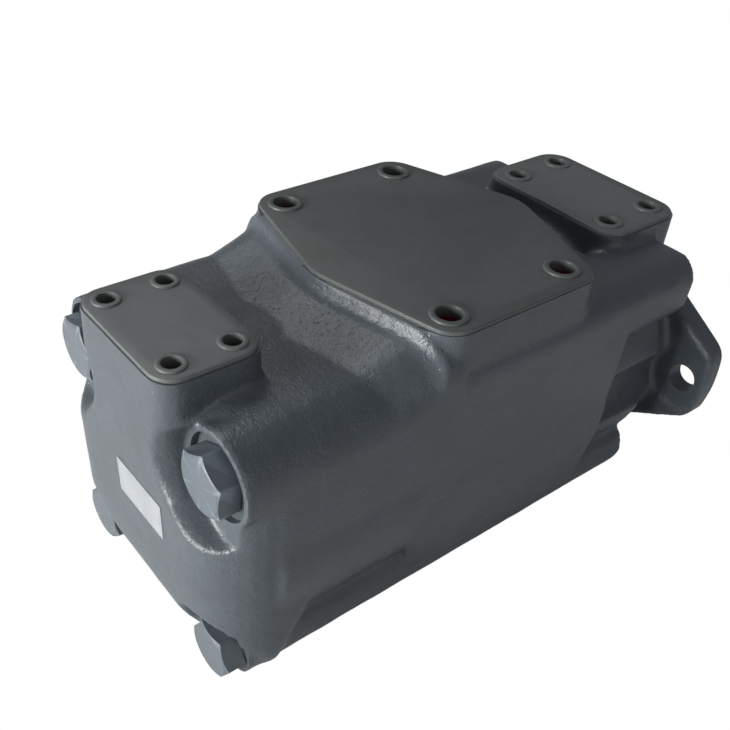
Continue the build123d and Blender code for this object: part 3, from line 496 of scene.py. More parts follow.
def rounded_corners(corners, radii, steps=6):
    """Outline of a polygon with each corner turned by an arc of its own radius."""
    outline = []
    for i, (corner, radius) in enumerate(zip(corners, radii)):
        here = Vector(corner)
        back = (Vector(corners[i - 1]) - here).normalized()
        ahead = (Vector(corners[(i + 1) % len(corners)]) - here).normalized()
        half = back.angle(ahead) / 2
        centre = here + (back + ahead).normalized() * (radius / math.sin(half))
        first = here + back * (radius / math.tan(half)) - centre
        last = here + ahead * (radius / math.tan(half)) - centre
        turn = first.angle_signed(last)
        for step in range(steps + 1):
            arm = first.copy()
            arm.rotate(Matrix.Rotation(-turn * step / steps, 2))
            outline.append(tuple(centre + arm))
    return outline


def plain_object(bm, name):
    mesh = bpy.data.meshes.new(name)
    bm.to_mesh(mesh)
    bm.free()
    made = bpy.data.objects.new(name, mesh)
    bpy.context.scene.collection.objects.link(made)
    return made


def object_from(bm, name):
    """Object from parts that are merged, with their faces turned outwards."""
    tidy(bm)
    return plain_object(bm, name)


def add_part(bm, part):
    """Move a finished part's faces into another bmesh."""
    mesh = bpy.data.meshes.new("part")
    part.to_mesh(mesh)
    part.free()
    bm.from_mesh(mesh)
    bpy.data.meshes.remove(mesh)


def settle(obj):
    """Apply the object's modifiers and leave a plain mesh."""
    bpy.context.view_layer.update()
    graph = bpy.context.evaluated_depsgraph_get()
    mesh = bpy.data.meshes.new_from_object(obj.evaluated_get(graph), depsgraph=graph)
    old = obj.data
    obj.modifiers.clear()
    obj.data = mesh
    bpy.data.meshes.remove(old)


def add_melt(obj, passes):
    """Modifiers that melt overlapping shapes into one skin and round its corners off."""
    skin = obj.modifiers.new("skin", "REMESH")
    skin.mode = "VOXEL"
    skin.voxel_size = bpy.context.scene.pump_castings.voxel
    skin.adaptivity = 0
    rounding = obj.modifiers.new("round", "SMOOTH")
    rounding.factor = 0.5
    rounding.iterations = passes


def cast_skin(obj):
    """Melt overlapping pattern shapes into one cast skin with slow waves."""
    cast = bpy.context.scene.pump_castings
    add_melt(obj, cast.blend_passes)
    waves = bpy.data.textures.new(obj.name + "_waves", "CLOUDS")
    waves.noise_scale = 0.016
    waves.noise_depth = 2
    displace = obj.modifiers.new("waves", "DISPLACE")
    displace.texture = waves
    displace.texture_coords = "LOCAL"
    displace.strength = cast.unevenness
    displace.mid_level = 0.5
    settle(obj)


def soften(obj, passes):
    """Round the rims of cast pockets by melting the skin once more."""
    add_melt(obj, passes)
    settle(obj)


def volume(mesh):
    bm = bmesh.new()
    bm.from_mesh(mesh)
    enclosed = bm.calc_volume()
    bm.free()
    return enclosed


def carve(obj, cutter, operation="DIFFERENCE"):
    """Machine the object with a closed cutter, which is then removed.

    A cut that adds metal has gone wrong on a sliver, so it is made again with holes tolerated.
    """
    blank = obj.data.copy()
    for tolerant in (False, True):
        obj.data = blank.copy()
        cut = obj.modifiers.new("cut", "BOOLEAN")
        cut.operation = operation
        cut.solver = "EXACT"
        cut.use_hole_tolerant = tolerant
        cut.object = cutter
        settle(obj)
        if operation != "DIFFERENCE" or volume(obj.data) < volume(blank):
            break
    bpy.data.meshes.remove(blank)
    bpy.data.objects.remove(cutter, do_unlink=True)


def mill(obj, axis, place, beyond=True):
    """Cut away everything beyond a plane across x or z, or everything before it."""
    far = 0.5
    lo, hi = Vector((-far, -far, -far)), Vector((far, far, far))
    setattr(lo if beyond else hi, axis, place)
    bm = bmesh.new()
    bar(bm, [(lo.y, lo.z), (hi.y, lo.z), (hi.y, hi.z), (lo.y, hi.z)], lo.x, hi.x)
    carve(obj, object_from(bm, obj.name + "_mill"))


def carve_lathed(obj, profile, centres=((0, 0),), steps=96, operation="DIFFERENCE"):
    """Bore or turn the object with the same profile, in (x, radius), about lines along X."""
    bm = bmesh.new()
    for centre in centres:
        lathe(bm, profile, centre, steps)
    carve(obj, object_from(bm, obj.name + "_cutter"), operation)


def drill(obj, radius, start, stop, centres=ALL_BOLTS, steps=32):
    """Plain holes along X from start to stop, at the housing bolts unless other centres are given."""
    carve_lathed(obj, [(start, 0), (start, radius), (stop, radius), (stop, 0)], centres, steps)


def dress(obj, body, slot_name, *finishes, sharp=35):
    """Finish a piece: materials, smooth shading with sharp edges kept, and its body; the slot name is not
    used.
    """
    for finish in finishes:
        obj.data.materials.append(finish_named(finish))
    obj.data.shade_smooth()
    obj.data.set_sharp_from_angle(angle=math.radians(sharp))
    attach(obj, body)


# ---------------------------------------------------------------- ports and their outlines

PORT_NAMES = ("suction_port", "p1_port", "p2_port")
MOUNTS = {mount["name"]: mount for mount in frame["record"]["mounts"]}
# In millimetres: bolt pattern across and along the pump, tapped hole's radius and depth, and how high
# over the shaft's axis the bore ends
PORT_BOLTS = {"suction_port": (130.2, 77.8), "p1_port": (69.9, 35.7), "p2_port": (58.7, 30.2)}
TAPPED_HOLES = {"suction_port": (8.0, 30.0), "p1_port": (6.4, 24.0), "p2_port": (5.5, 20.0)}
THROAT_ENDS = {"suction_port": 20, "p1_port": 41, "p2_port": 35}
THROAT_STEP = 2 * MM
PORT_DEPTH = 30 * MM
PAD_MARGIN = 0.8 * MM  # small pads stand out this far round their covers
OUTLINE_STEPS = 8

# Suction pad: how far its straight sides and its two noses reach along X from the port's centre
PAD_END = 50.5 * MM
REAR_NOSE = 69.5 * MM
FRONT_NOSE = 79 * MM
PAD_HALF_WIDTH = 80.5 * MM
PAD_RADII = [radius * MM for radius in (15, 15, 30, 15, 15, 30)]


def port(name):
    """Centre of a port's pad face, and the port's radius."""
    mount = MOUNTS[name]
    return Vector(mount["pos_m"]), mount["dims"]["r_mm"] * MM


def bolt_grid(name):
    """The four bolt places round a port, as (x, y)."""
    centre, _ = port(name)
    across, along = (size * MM for size in PORT_BOLTS[name])
    return [
        (centre.x + sx * along / 2, centre.y + sy * across / 2) for sx in (-1, 1) for sy in (-1, 1)
    ]


def suction_outline(half_width, rear=0.0, front=0.0):
    """Six-sided outline of the suction pad, with its ends moved out to the rear and the front."""
    centre, _ = port("suction_port")
    rows = [
        (-PAD_END - rear, half_width), (PAD_END + front, half_width), (FRONT_NOSE + front, 0.0),
        (PAD_END + front, -half_width), (-PAD_END - rear, -half_width), (-REAR_NOSE - rear, 0.0),
    ]
    return rounded_corners([(centre.x + x, y) for x, y in rows], PAD_RADII, OUTLINE_STEPS)


def small_outline(name, margin=0.0):
    """Rectangular outline of a pressure port's cover, with a margin all round for its pad."""
    lo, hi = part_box(name.replace("port", "port_cover"))
    radius = (14 if name == "p1_port" else 12) * MM
    corners = [
        (lo.x - margin, lo.y - margin), (hi.x + margin, lo.y - margin),
        (hi.x + margin, hi.y + margin), (lo.x - margin, hi.y + margin),
    ]
    return rounded_corners(corners, [radius] * 4, OUTLINE_STEPS)


def port_block(bm, name, foot):
    """Block under a pressure port, whose walls lean out towards its foot."""
    outline = [Vector(point) for point in small_outline(name, PAD_MARGIN)]
    top = port(name)[0].z + OVERRUN
    centre = sum(outline, Vector((0, 0))) / len(outline)
    lean = (top - foot) * 0.03
    lowest = [point + (point - centre).normalized() * lean for point in outline]
    stack(bm, [[(*point, foot) for point in lowest], [(*point, top) for point in outline]])


def carve_port(obj, name):
    """Bore a port with its narrower throat, and tap its four bolt holes."""
    centre, radius = port(name)
    throat, throat_end = radius - THROAT_STEP, THROAT_ENDS[name] * MM
    floor, above = centre.z - PORT_DEPTH, centre.z + OVERRUN
    bm = bmesh.new()
    upright_lathe(
        bm,
        [(0, throat_end), (throat, throat_end), (throat, floor), (radius, floor), (radius, above),
         (0, above)],
        (centre.x, centre.y),
    )
    tap, depth = (size * MM for size in TAPPED_HOLES[name])
    for place in bolt_grid(name):
        profile = [(0, centre.z - depth), (tap, centre.z - depth), (tap, above), (0, above)]
        upright_lathe(bm, profile, place, steps=32)
    carve(obj, object_from(bm, name + "_cutter"))


# ---------------------------------------------------------------- castings

CASTING_FINISHES = ("cast_paint", "machined_paint", "bare_iron")
SKIN_FACE_LIMIT = 8 * MM * MM  # the cast skin's faces are smaller, the machined faces larger
BORE_REACH = 62 * MM  # machined faces nearer to the shaft's axis than this are bores


def mark_machined(obj):
    """Give the large machined faces their finish: bare iron in the bores and ports, else smooth paint."""
    ports = [port(name) for name in PORT_NAMES]
    for polygon in obj.data.polygons:
        if polygon.area < SKIN_FACE_LIMIT:
            continue
        spot = polygon.center
        in_bore = math.hypot(spot.y, spot.z) < BORE_REACH and spot.x < -1 * MM
        in_port = any(
            math.hypot(spot.x - centre.x, spot.y - centre.y) < radius + 0.5 * MM and spot.z > 20 * MM
            for centre, radius in ports
        )
        finish = "bare_iron" if in_port or in_bore else "machined_paint"
        polygon.material_index = CASTING_FINISHES.index(finish)


def lobes(bm, places, radius, start, stop):
    for y, z in places:
        bar(bm, circle_points(y, z, radius), start, stop)


def square_lobes(bm, start, stop, inset=0.0):
    """Upper lobes of the drive end, which are squarer than those of the rear."""
    for side in (-1, 1):
        inner, outer = side * 36 * MM, side * (85 * MM - inset)
        foot, top = 44 * MM, 85.5 * MM - inset
        corners = [(inner, foot), (outer, foot), (outer, top), (inner, top)]
        bar(bm, rounded_corners(corners, [15.5 * MM] * 4), start, stop)


def barrel(bm, start, stop, radius):
    lathe(bm, [(start, 0), (start, radius), (stop, radius), (stop, 0)])


def shoulders(bm, start, stop):
    """Flat top between the upper lobes, and flat flanks under them."""
    cast = bpy.context.scene.pump_castings
    for half_width, top in ((LOBE, cast.deck), (cast.side, LOBE)):
        outline = [(-half_width, 0), (half_width, 0), (half_width, top), (-half_width, top)]
        bar(bm, outline, start, stop)


def skirt_ring(reach, rise):
    """One section of the suction block's skirt: the body's top section, raised, on the pad's outline."""
    cast = bpy.context.scene.pump_castings
    radius = cast.upper_lobe
    turns = [math.pi / 2 * step / 12 for step in range(13)]
    lobe = [(LOBE + radius * math.cos(turn), LOBE + rise + radius * math.sin(turn)) for turn in turns]
    deck = [(-LOBE + 2 * LOBE * step / 16, cast.deck + rise) for step in range(1, 16)]
    foot = 20 * MM
    section = [(-cast.side, foot)] + [(-y, z) for y, z in lobe] + deck + lobe[::-1] + [(cast.side, foot)]
    nose = port("suction_port")[0].x - REAR_NOSE - reach
    nose_round = 14 * MM
    slant = (REAR_NOSE - PAD_END) / PAD_HALF_WIDTH
    return [(nose + (math.hypot(y, nose_round) - nose_round) * slant, y, z) for y, z in section]


def suction_skirt(bm):
    """Concave skirt from the rear deck up to the suction pad; it wraps down over the upper lobes."""
    cast = bpy.context.scene.pump_castings
    height = port("suction_port")[0].z - cast.deck
    # shares of the skirt's reach and rise: a long ramp with a crisp toe, then a steep wall
    profile = ((1.0, -0.05), (0.55, 0.22), (0.16, 0.47), (0.07, 0.58), (0.02, 0.74), (0.0, 1.0))
    rings = [skirt_ring(cast.flare_reach * out, height * up) for out, up in profile]
    rings.append(skirt_ring(-12 * MM, height))
    stack(bm, rings)


def suction_block(bm):
    """Suction block, drafted down into the body, with a short skirt towards the drive end."""
    cast = bpy.context.scene.pump_castings
    top = port("suction_port")[0].z
    block = ((cast.side, LOBE), (PAD_HALF_WIDTH, top), (80.2 * MM, top + OVERRUN))
    stack(bm, [[(x, y, z) for x, y in suction_outline(width)] for width, z in block])
    suction_skirt(bm)
    # half width, reach and height of the short skirt's sections, in millimetres
    skirt = ((79, 9, 70), (78, 9, 85), (79, 3, 88), (80, 0, 94))
    stack(bm, [
        [(x, y, z * MM) for x, y in suction_outline(width * MM, 0, reach * MM)] for width, reach, z in skirt
    ])


def side_shelves(bm, start):
    """Low shelf along the front half of both long sides; it rises out of the barrel's flank."""
    inner = 59.5
    section = ((inner, 14), (83.5, 14), (85, 2), (85, -14), (78.5, -59.5), (inner, -59.5))
    places = ((start, 3.5), (start + 28 * MM, 0), (FRONT_SEAM + OVERRUN, 0))
    for side in (-1, 1):
        stack(bm, [
            [(x, side * max(inner, y - inset) * MM, z * MM) for y, z in section] for x, inset in places
        ])


class PUMP_OT_centre_housing(bpy.types.Operator):
    """Cast centre housing with the suction block on top"""

    bl_idname = "pump.centre_housing"
    bl_label = "Centre Housing"

    def execute(self, context):
        cast = context.scene.pump_castings
        centre, _ = port("suction_port")
        rear_end, front_end = REAR_SEAM - OVERRUN, FRONT_SEAM + OVERRUN
        round_lobes_end, square_lobes_start = centre.x - 20 * MM, centre.x - 40 * MM
        swell_end, swell_foot = centre.x - 57 * MM, centre.x - 45 * MM
        bm = bmesh.new()
        barrel(bm, rear_end, round_lobes_end, cast.barrel_radius)
        lobes(bm, UPPER_BOLTS, cast.upper_lobe, rear_end, round_lobes_end)
        lobes(bm, LOWER_BOLTS, cast.lower_lobe, rear_end, round_lobes_end)
        barrel(bm, square_lobes_start, front_end, cast.barrel_radius)
        square_lobes(bm, square_lobes_start, front_end)
        lobes(bm, LOWER_BOLTS, cast.lower_lobe, square_lobes_start, front_end)
        shoulders(bm, rear_end, front_end)
        lathe(bm, [(rear_end, 0), (rear_end, cast.swell_radius), (swell_end, cast.swell_radius),
                   (swell_foot, cast.barrel_radius), (swell_foot, 0)])
        suction_block(bm)
        side_shelves(bm, swell_end + 4 * MM)
        housing = object_from(bm, "centre_housing_casting")
        cast_skin(housing)
        mill(housing, "z", centre.z)
        mill(housing, "z", BASE, beyond=False)
        mill(housing, "x", FRONT_SEAM)
        mill(housing, "x", REAR_SEAM, beyond=False)
        # bores for the two cartridges' port plates, and the narrower chamber between them
        front_lo, front_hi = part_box("p1_port_plate")
        rear_lo, rear_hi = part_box("p2_port_plate")
        front_bore, rear_bore, chamber = front_hi.z + 0.05 * MM, rear_hi.z + 0.05 * MM, 58 * MM
        carve_lathed(housing, [
            (front_end, 0), (front_end, front_bore), (front_lo.x, front_bore), (front_lo.x, chamber),
            (rear_hi.x, chamber), (rear_hi.x, rear_bore), (rear_end, rear_bore), (rear_end, 0),
        ])
        carve_port(housing, "suction_port")
        drill(housing, TAP_RADIUS, rear_end, REAR_SEAM + TAP_REACH)
        drill(housing, TAP_RADIUS, FRONT_SEAM - TAP_REACH, front_end)
        mark_machined(housing)
        dress(housing, "pump_body", "painted_iron", *CASTING_FINISHES)
        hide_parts("centre_housing")
        return {"FINISHED"}


def domed_back(bm, start):
    """Back of the end cap: its sides, top and foot turn in towards the flat rear face."""
    cast = bpy.context.scene.pump_castings
    rings = []
    for share in (0.0, 0.02, 0.06, 0.13, 0.23, 0.38, 0.58, 0.8, 1.0, 1.55):
        turn = math.sqrt(1 - max(0.0, 1 - share) ** 2)
        half_width = 44 * MM + (cast.side - 45 * MM) * turn
        top = 50 * MM + (cast.deck - 50 * MM) * turn
        # the foot runs out where the grooves of the centre housing begin
        foot = -22 * MM - 57 * MM * turn + max(0.0, share - 1) * 60 * MM
        corners = [(-half_width, foot), (half_width, foot), (half_width, top), (-half_width, top)]
        outline = rounded_corners(corners, [14 * MM + 10.5 * MM * turn] * 4)
        rings.append([(REAR_FACE + share * (start - REAR_FACE), y, z) for y, z in outline])
    stack(bm, rings)


class PUMP_OT_end_cap(bpy.types.Operator):
    """Cast end cap with a domed back, four bolt seats and the rear pressure port's block"""

    bl_idname = "pump.end_cap"
    bl_label = "End Cap"

    def execute(self, context):
        cast = context.scene.pump_castings
        before, seam_end = REAR_FACE - OVERRUN, REAR_SEAM + OVERRUN
        lug_face, shoulder = REAR_FACE + 15 * MM, REAR_SEAM - 20 * MM
        bm = bmesh.new()
        barrel(bm, shoulder, seam_end, cast.swell_radius)
        for start, stop in ((shoulder, seam_end), (lug_face - 3 * MM, REAR_SEAM)):
            lobes(bm, UPPER_BOLTS, cast.upper_lobe, start, stop)
            lobes(bm, LOWER_BOLTS, cast.lower_lobe, start, stop)
        shoulders(bm, shoulder, seam_end)
        domed_back(bm, shoulder)
        port_block(bm, "p2_port", 45 * MM)
        cap = object_from(bm, "end_cap_casting")
        cast_skin(cap)
        # cast scoops round the bolt heads, which open out and down towards the corners
        carve_lathed(cap, [
            (before, 0), (before, 36 * MM), (REAR_FACE, 30.5 * MM), (REAR_FACE + 5 * MM, 27 * MM),
            (REAR_FACE + 10 * MM, 25 * MM), (lug_face, 24.5 * MM), (lug_face, 0),
        ], ALL_BOLTS, 64)
        corners = [(y + math.copysign(8 * MM, y), z - 11 * MM) for y, z in ALL_BOLTS]
        carve_lathed(cap, [
            (before, 0), (before, 34 * MM), (REAR_FACE, 29 * MM), (REAR_FACE + 6 * MM, 25.5 * MM),
            (lug_face, 22 * MM), (lug_face, 0),
        ], corners, 64)
        soften(cap, 5)
        mill(cap, "z", port("p2_port")[0].z)
        mill(cap, "z", BASE, beyond=False)
        mill(cap, "x", REAR_SEAM)
        drill(cap, SPOTFACE_RADIUS, before, BOLT_SEAT_FACE, steps=64)
        # seat of the pressure plate's hub, the bush's bore and the blind end behind the shaft
        bush_lo, bush_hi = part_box("rear_bush")
        hub_bore, relief, bush_bore, shaft_room = 42.05 * MM, 26 * MM, 19 * MM, 15 * MM
        blind_end = bush_lo.x - 3 * MM
        carve_lathed(cap, [
            (seam_end, 0), (seam_end, hub_bore), (bush_lo.x, hub_bore), (bush_lo.x, relief),
            (bush_hi.x, relief), (bush_hi.x, bush_bore), (bush_lo.x, bush_bore), (bush_lo.x, shaft_room),
            (blind_end, shaft_room), (blind_end, 0),
        ])
        carve_port(cap, "p2_port")
        drill(cap, BOLT_HOLE_RADIUS, before, seam_end)
        mark_machined(cap)
        dress(cap, "pump_body", "painted_iron", *CASTING_FINISHES)
        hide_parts("end_cap")
        return {"FINISHED"}


def flange(bm, back):
    """Plate of the two-bolt flange with its two ears."""
    # its corners as (y, z) and the radius of each, in millimetres
    corners = [(103.8, 23, 14), (20, 73, 10), (-20, 73, 10), (-103.8, 23, 14), (-106.3, 0, 90),
               (-103.8, -23, 14), (-20, -73, 10), (20, -73, 10), (103.8, -23, 14), (106.3, 0, 90)]
    outline = rounded_corners([(y * MM, z * MM) for y, z, _ in corners], [r * MM for _, _, r in corners])
    bar(bm, outline, back, OVERRUN)


class PUMP_OT_mounting_cap(bpy.types.Operator):
    """Cast mounting cap with the two-ear flange, pilot and the front pressure port's block"""

    bl_idname = "pump.mounting_cap"
    bl_label = "Mounting Cap"

    def execute(self, context):
        cast = context.scene.pump_castings
        flange_back, seam_end = -12 * MM, FRONT_SEAM - OVERRUN
        flange_bolts = [(side * 90.5 * MM, 0) for side in (-1, 1)]
        bm = bmesh.new()
        # this casting is a little smaller than the housing, so the seam shows as a step
        barrel(bm, seam_end, LOBE_END, cast.barrel_radius - 0.6 * MM)
        square_lobes(bm, seam_end, LOBE_END, 0.8 * MM)
        lobes(bm, LOWER_BOLTS, cast.lower_lobe, seam_end, LOBE_END)
        neck = LOBE_END - OVERRUN
        lathe(bm, [(neck, 0), (neck, 76 * MM), (OVERRUN, 73 * MM), (OVERRUN, 0)])
        flange(bm, flange_back - 1.2 * MM)
        port_block(bm, "p1_port", LOBE)
        cap = object_from(bm, "mounting_cap_casting")
        cast_skin(cap)
        # cast pockets for the mounting bolts behind the ears
        pocket, pocket_foot = 22 * MM, 16 * MM
        carve_lathed(cap, [
            (FRONT_SEAM + 3 * MM, 0), (FRONT_SEAM + 3 * MM, pocket_foot), (FRONT_SEAM + 9 * MM, pocket),
            (flange_back, pocket), (flange_back, 0),
        ], flange_bolts, 64)
        soften(cap, 3)
        mill(cap, "x", 0.0)
        edge = 1 * MM
        carve_lathed(cap, [
            (-5 * MM, 0), (-5 * MM, PILOT_RADIUS), (PILOT_END - edge, PILOT_RADIUS),
            (PILOT_END, PILOT_RADIUS - edge), (PILOT_END, 0),
        ], steps=128, operation="UNION")
        mill(cap, "x", FRONT_SEAM, beyond=False)
        mill(cap, "z", port("p1_port")[0].z)
        mill(cap, "z", BASE, beyond=False)
        drill(cap, 8.75 * MM, flange_back - OVERRUN, OVERRUN, flange_bolts, 48)
        carve_lathed(cap, [
            (seam_end, 0), (seam_end, BOLT_HOLE_RADIUS), (SOCKET_SEAT, BOLT_HOLE_RADIUS),
            (SOCKET_SEAT, COUNTERBORE_RADIUS), (OVERRUN, COUNTERBORE_RADIUS), (OVERRUN, 0),
        ], ALL_BOLTS, 48)
        # bearing seat with its ring groove, seal seat and the front cartridge's hub bore
        ring_lo, ring_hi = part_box("bearing_retaining_ring")
        seal_lo, seal_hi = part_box("shaft_seal")
        bearing_back, groove_front = low("bearing_outer_race").x, ring_hi.x + 0.1 * MM
        mouth, bearing_bore, groove, land = 41 * MM, 40 * MM, 41.8 * MM, 34 * MM
        seal_bore, shaft_room, hub_bore = 31 * MM, 24.5 * MM, 48.05 * MM
        hub_end = seal_lo.x - 8 * MM
        carve_lathed(cap, [
            (PILOT_END + OVERRUN, 0), (PILOT_END + OVERRUN, mouth), (PILOT_END, mouth),
            (PILOT_END - edge, bearing_bore), (groove_front, bearing_bore), (groove_front, groove),
            (ring_lo.x, groove), (ring_lo.x, bearing_bore), (bearing_back, bearing_bore),
            (bearing_back, land), (seal_hi.x, land), (seal_hi.x, seal_bore), (seal_lo.x, seal_bore),
            (seal_lo.x, shaft_room), (hub_end, shaft_room), (hub_end, hub_bore), (seam_end, hub_bore),
            (seam_end, 0),
        ])
        carve_port(cap, "p1_port")
        mark_machined(cap)
        dress(cap, "pump_body", "painted_iron", *CASTING_FINISHES)
        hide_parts("mounting_cap")
        return {"FINISHED"}


# ---------------------------------------------------------------- covers, bolts, nameplate

# Outside, inside and collar diameter of each cover's hollow plugs, in millimetres
PLUG_SIZES = {"suction_port": (15.7, 13.3, 19.5), "p1_port": (12.5, 10.7, 16.7), "p2_port": (10.7, 9.0, 14.2)}
COVER_THICKNESS = 2 * MM
COVER_EDGE = 0.7 * MM
COLLAR_HEIGHT = 1 * MM
PLUG_LENGTH = 11 * MM
PLUG_FLOOR = 1.5 * MM
PAINT_REACH = 3 * MM  # paint runs this far down inside the plugs


def cover_plate(name, outline, hole_radius):
    """Flat plate with a hole for each plug; its upper rim is rounded."""
    bottom = port(name)[0].z
    top = bottom + COVER_THICKNESS
    bm = bmesh.new()
    edges = []
    for ring in [outline] + [circle_points(x, y, hole_radius, 40) for x, y in bolt_grid(name)]:
        edges += loop_of(bm, [(x, y, bottom) for x, y in ring])[1]
    bmesh.ops.triangle_fill(bm, use_beauty=True, edges=edges)
    bmesh.ops.dissolve_limit(bm, angle_limit=0.01, verts=bm.verts, edges=bm.edges)
    sweep(bm, list(bm.faces), (0, 0, COVER_THICKNESS))
    rim = []
    for edge in bm.edges:
        level = all(abs(vert.co.z - top) < 1e-7 for vert in edge.verts)
        if not level or len(edge.link_faces) != 2:
            continue
        spot = edge.verts[0].co
        on_hole = any(math.hypot(spot.x - x, spot.y - y) < hole_radius * 1.05 for x, y in bolt_grid(name))
        if edge.calc_face_angle(0) > 1.0 and not on_hole:
            rim.append(edge)
    chamfer(bm, rim, COVER_EDGE, 3)
    tidy(bm)
    return bm


def cover_plugs(name, outside, inside, collar):
    """Hollow plugs with raised collars; their unpainted faces take the second material."""
    pad = port(name)[0].z
    rim = pad + COVER_THICKNESS + COLLAR_HEIGHT
    end, collar_foot = pad - PLUG_LENGTH, pad + 0.2 * MM
    floor, paint_end = end + PLUG_FLOOR, pad - PAINT_REACH
    bm = bmesh.new()
    for place in bolt_grid(name):
        upright_lathe(bm, [
            (0, end), (outside - 0.8 * MM, end), (outside, end + 0.8 * MM), (outside, collar_foot),
            (collar, collar_foot), (collar, rim - 0.45 * MM), (collar - 0.15 * MM, rim - 0.15 * MM),
            (collar - 0.45 * MM, rim), (inside + 0.45 * MM, rim), (inside + 0.12 * MM, rim - 0.12 * MM),
            (inside, rim - 0.5 * MM), (inside, paint_end), (inside, floor), (0, floor),
        ], place, steps=48)
    tidy(bm)
    for face in bm.faces:
        spot = face.calc_center_median()
        nearest = min(math.hypot(spot.x - x, spot.y - y) for x, y in bolt_grid(name))
        if spot.z < (paint_end - 0.1 * MM if nearest < inside * 1.01 else pad):
            face.material_index = 1
    return bm


class PUMP_OT_port_covers(bpy.types.Operator):
    """Painted push-in covers with raised collars and hollow plugs"""

    bl_idname = "pump.port_covers"
    bl_label = "Port Covers"

    def execute(self, context):
        for name in PORT_NAMES:
            large = name == "suction_port"
            outline = suction_outline(80 * MM, -0.5 * MM, -0.5 * MM) if large else small_outline(name)
            outside, inside, collar = (size / 2 * MM for size in PLUG_SIZES[name])
            bm = cover_plate(name, outline, outside - 0.1 * MM)
            add_part(bm, cover_plugs(name, outside, inside, collar))
            cover = plain_object(bm, name + "_cover_shell")
            body = name.replace("port", "cover")
            # the small covers get the cover paint made lighter: painted light
            dress(cover, body, "painted_plastic", "cover_paint" if large else "small_cover_paint", "plug_red")
            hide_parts(name + "_cover")
        return {"FINISHED"}


class PUMP_OT_rear_bolts(bpy.types.Operator):
    """Four painted hex bolts that hold the end cap"""

    bl_idname = "pump.rear_bolts"
    bl_label = "Rear Bolts"

    def execute(self, context):
        seat, crown = BOLT_SEAT_FACE, BOLT_SEAT_FACE - HEX_HEAD
        tail = high("rear_housing_bolts").x
        corner = HEX_FLATS / math.sqrt(3)
        washer_face = HEX_FLATS / 2 - 0.6 * MM
        bm = bmesh.new()
        for (y, z), degrees in zip(ALL_BOLTS, HEX_TURNS):
            head = bmesh.new()
            bar(head, circle_points(y, z, corner, 6, math.radians(degrees + 30)), crown, seat - 0.6 * MM)
            tidy(head)
            long_edges = [e for e in head.edges if abs(e.verts[0].co.x - e.verts[1].co.x) > 1 * MM]
            chamfer(head, long_edges, 0.5 * MM, 2)
            add_part(bm, head)
        heads = object_from(bm, "rear_bolt_heads")
        # turned crown: the corners run out in a cone
        rim = corner + 0.2 * MM
        carve_lathed(
            heads, [(crown, 0), (crown, washer_face), (crown + 1.7 * MM, rim), (seat, rim), (seat, 0)],
            ALL_BOLTS, 72, "INTERSECT",
        )
        bm = bmesh.new()
        bm.from_mesh(heads.data)
        for place in ALL_BOLTS:
            lathe(bm, [
                (seat - 1.4 * MM, 0), (seat - 1.4 * MM, washer_face), (seat, washer_face),
                (seat, BOLT_RADIUS), (tail - 1 * MM, BOLT_RADIUS), (tail, BOLT_RADIUS - 1 * MM), (tail, 0),
            ], place, steps=48)
        bmesh.ops.recalc_face_normals(bm, faces=bm.faces)
        bm.to_mesh(heads.data)
        bm.free()
        dress(heads, "pump_body", "painted_steel", "bolt_paint", sharp=15)
        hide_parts("rear_housing_bolts")
        return {"FINISHED"}


class PUMP_OT_front_bolts(bpy.types.Operator):
    """Four socket head bolts sunk in the front lobes"""

    bl_idname = "pump.front_bolts"
    bl_label = "Front Bolts"

    def execute(self, context):
        tail, crown = low("front_housing_bolts").x, LOBE_END - 1 * MM
        key_depth, key_corner = 10 * MM, 8.5 * MM / math.cos(math.pi / 6)
        bm = bmesh.new()
        for place in ALL_BOLTS:
            lathe(bm, [
                (tail, 0), (tail, BOLT_RADIUS - 1 * MM), (tail + 1 * MM, BOLT_RADIUS),
                (SOCKET_SEAT, BOLT_RADIUS), (SOCKET_SEAT, SOCKET_RADIUS), (crown - 0.8 * MM, SOCKET_RADIUS),
                (crown, SOCKET_RADIUS - 0.8 * MM), (crown, 0),
            ], place, steps=48)
        bolts = object_from(bm, "front_bolt_pieces")
        keys = bmesh.new()
        for y, z in ALL_BOLTS:
            bar(keys, circle_points(y, z, key_corner, 6), crown - key_depth, crown + OVERRUN)
        carve(bolts, object_from(keys, "key_cutter"))
        dress(bolts, "pump_body", "black_steel", "black", sharp=30)
        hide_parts("front_housing_bolts")
        return {"FINISHED"}


class PUMP_OT_nameplate(bpy.types.Operator):
    """Bare plate on the flat rear face"""

    bl_idname = "pump.nameplate"
    bl_label = "Nameplate"

    def execute(self, context):
        left, right, foot, top = (size * MM for size in (-32.3, 10.9, 4.6, 27))
        corners = [(left, foot), (right, foot), (right, top), (left, top)]
        bm = bmesh.new()
        bar(bm, rounded_corners(corners, [0.8 * MM] * 4, 4), REAR_FACE - 0.30 * MM, REAR_FACE + 1.2 * MM)
        tidy(bm)
        chamfer(bm, [e for e in bm.edges if all(v.co.x < REAR_FACE for v in e.verts)], 0.08 * MM, 1)
        plate = object_from(bm, "nameplate")
        dress(plate, "pump_body", "painted_iron", "bare_plate")
        return {"FINISHED"}


class PUMP_OT_inner_finishes(bpy.types.Operator):
    """Metal, bronze and rubber finishes on the shaft, bearing, seals and cartridges"""

    bl_idname = "pump.inner_finishes"
    bl_label = "Inner Finishes"

    FINISHES = {
        "machined_steel": "ground", "hardened_steel": "polished", "ground_iron": "ground_iron",
        "black_steel": "black", "spring_steel": "spring", "bronze": "bronze", "rubber": "rubber",
        "painted_iron": "cast_paint", "painted_steel": "bolt_paint", "painted_plastic": "cover_paint",
    }

    def execute(self, context):
        slots = {row["node"]: row["material_slot"] for row in frame["record"]["subparts"]}
        for name, obj in NODES.items():
            obj.data.materials.clear()
            obj.data.materials.append(finish_named(self.FINISHES[slots[name]]))
        return {"FINISHED"}


# ---------------------------------------------------------------- stage

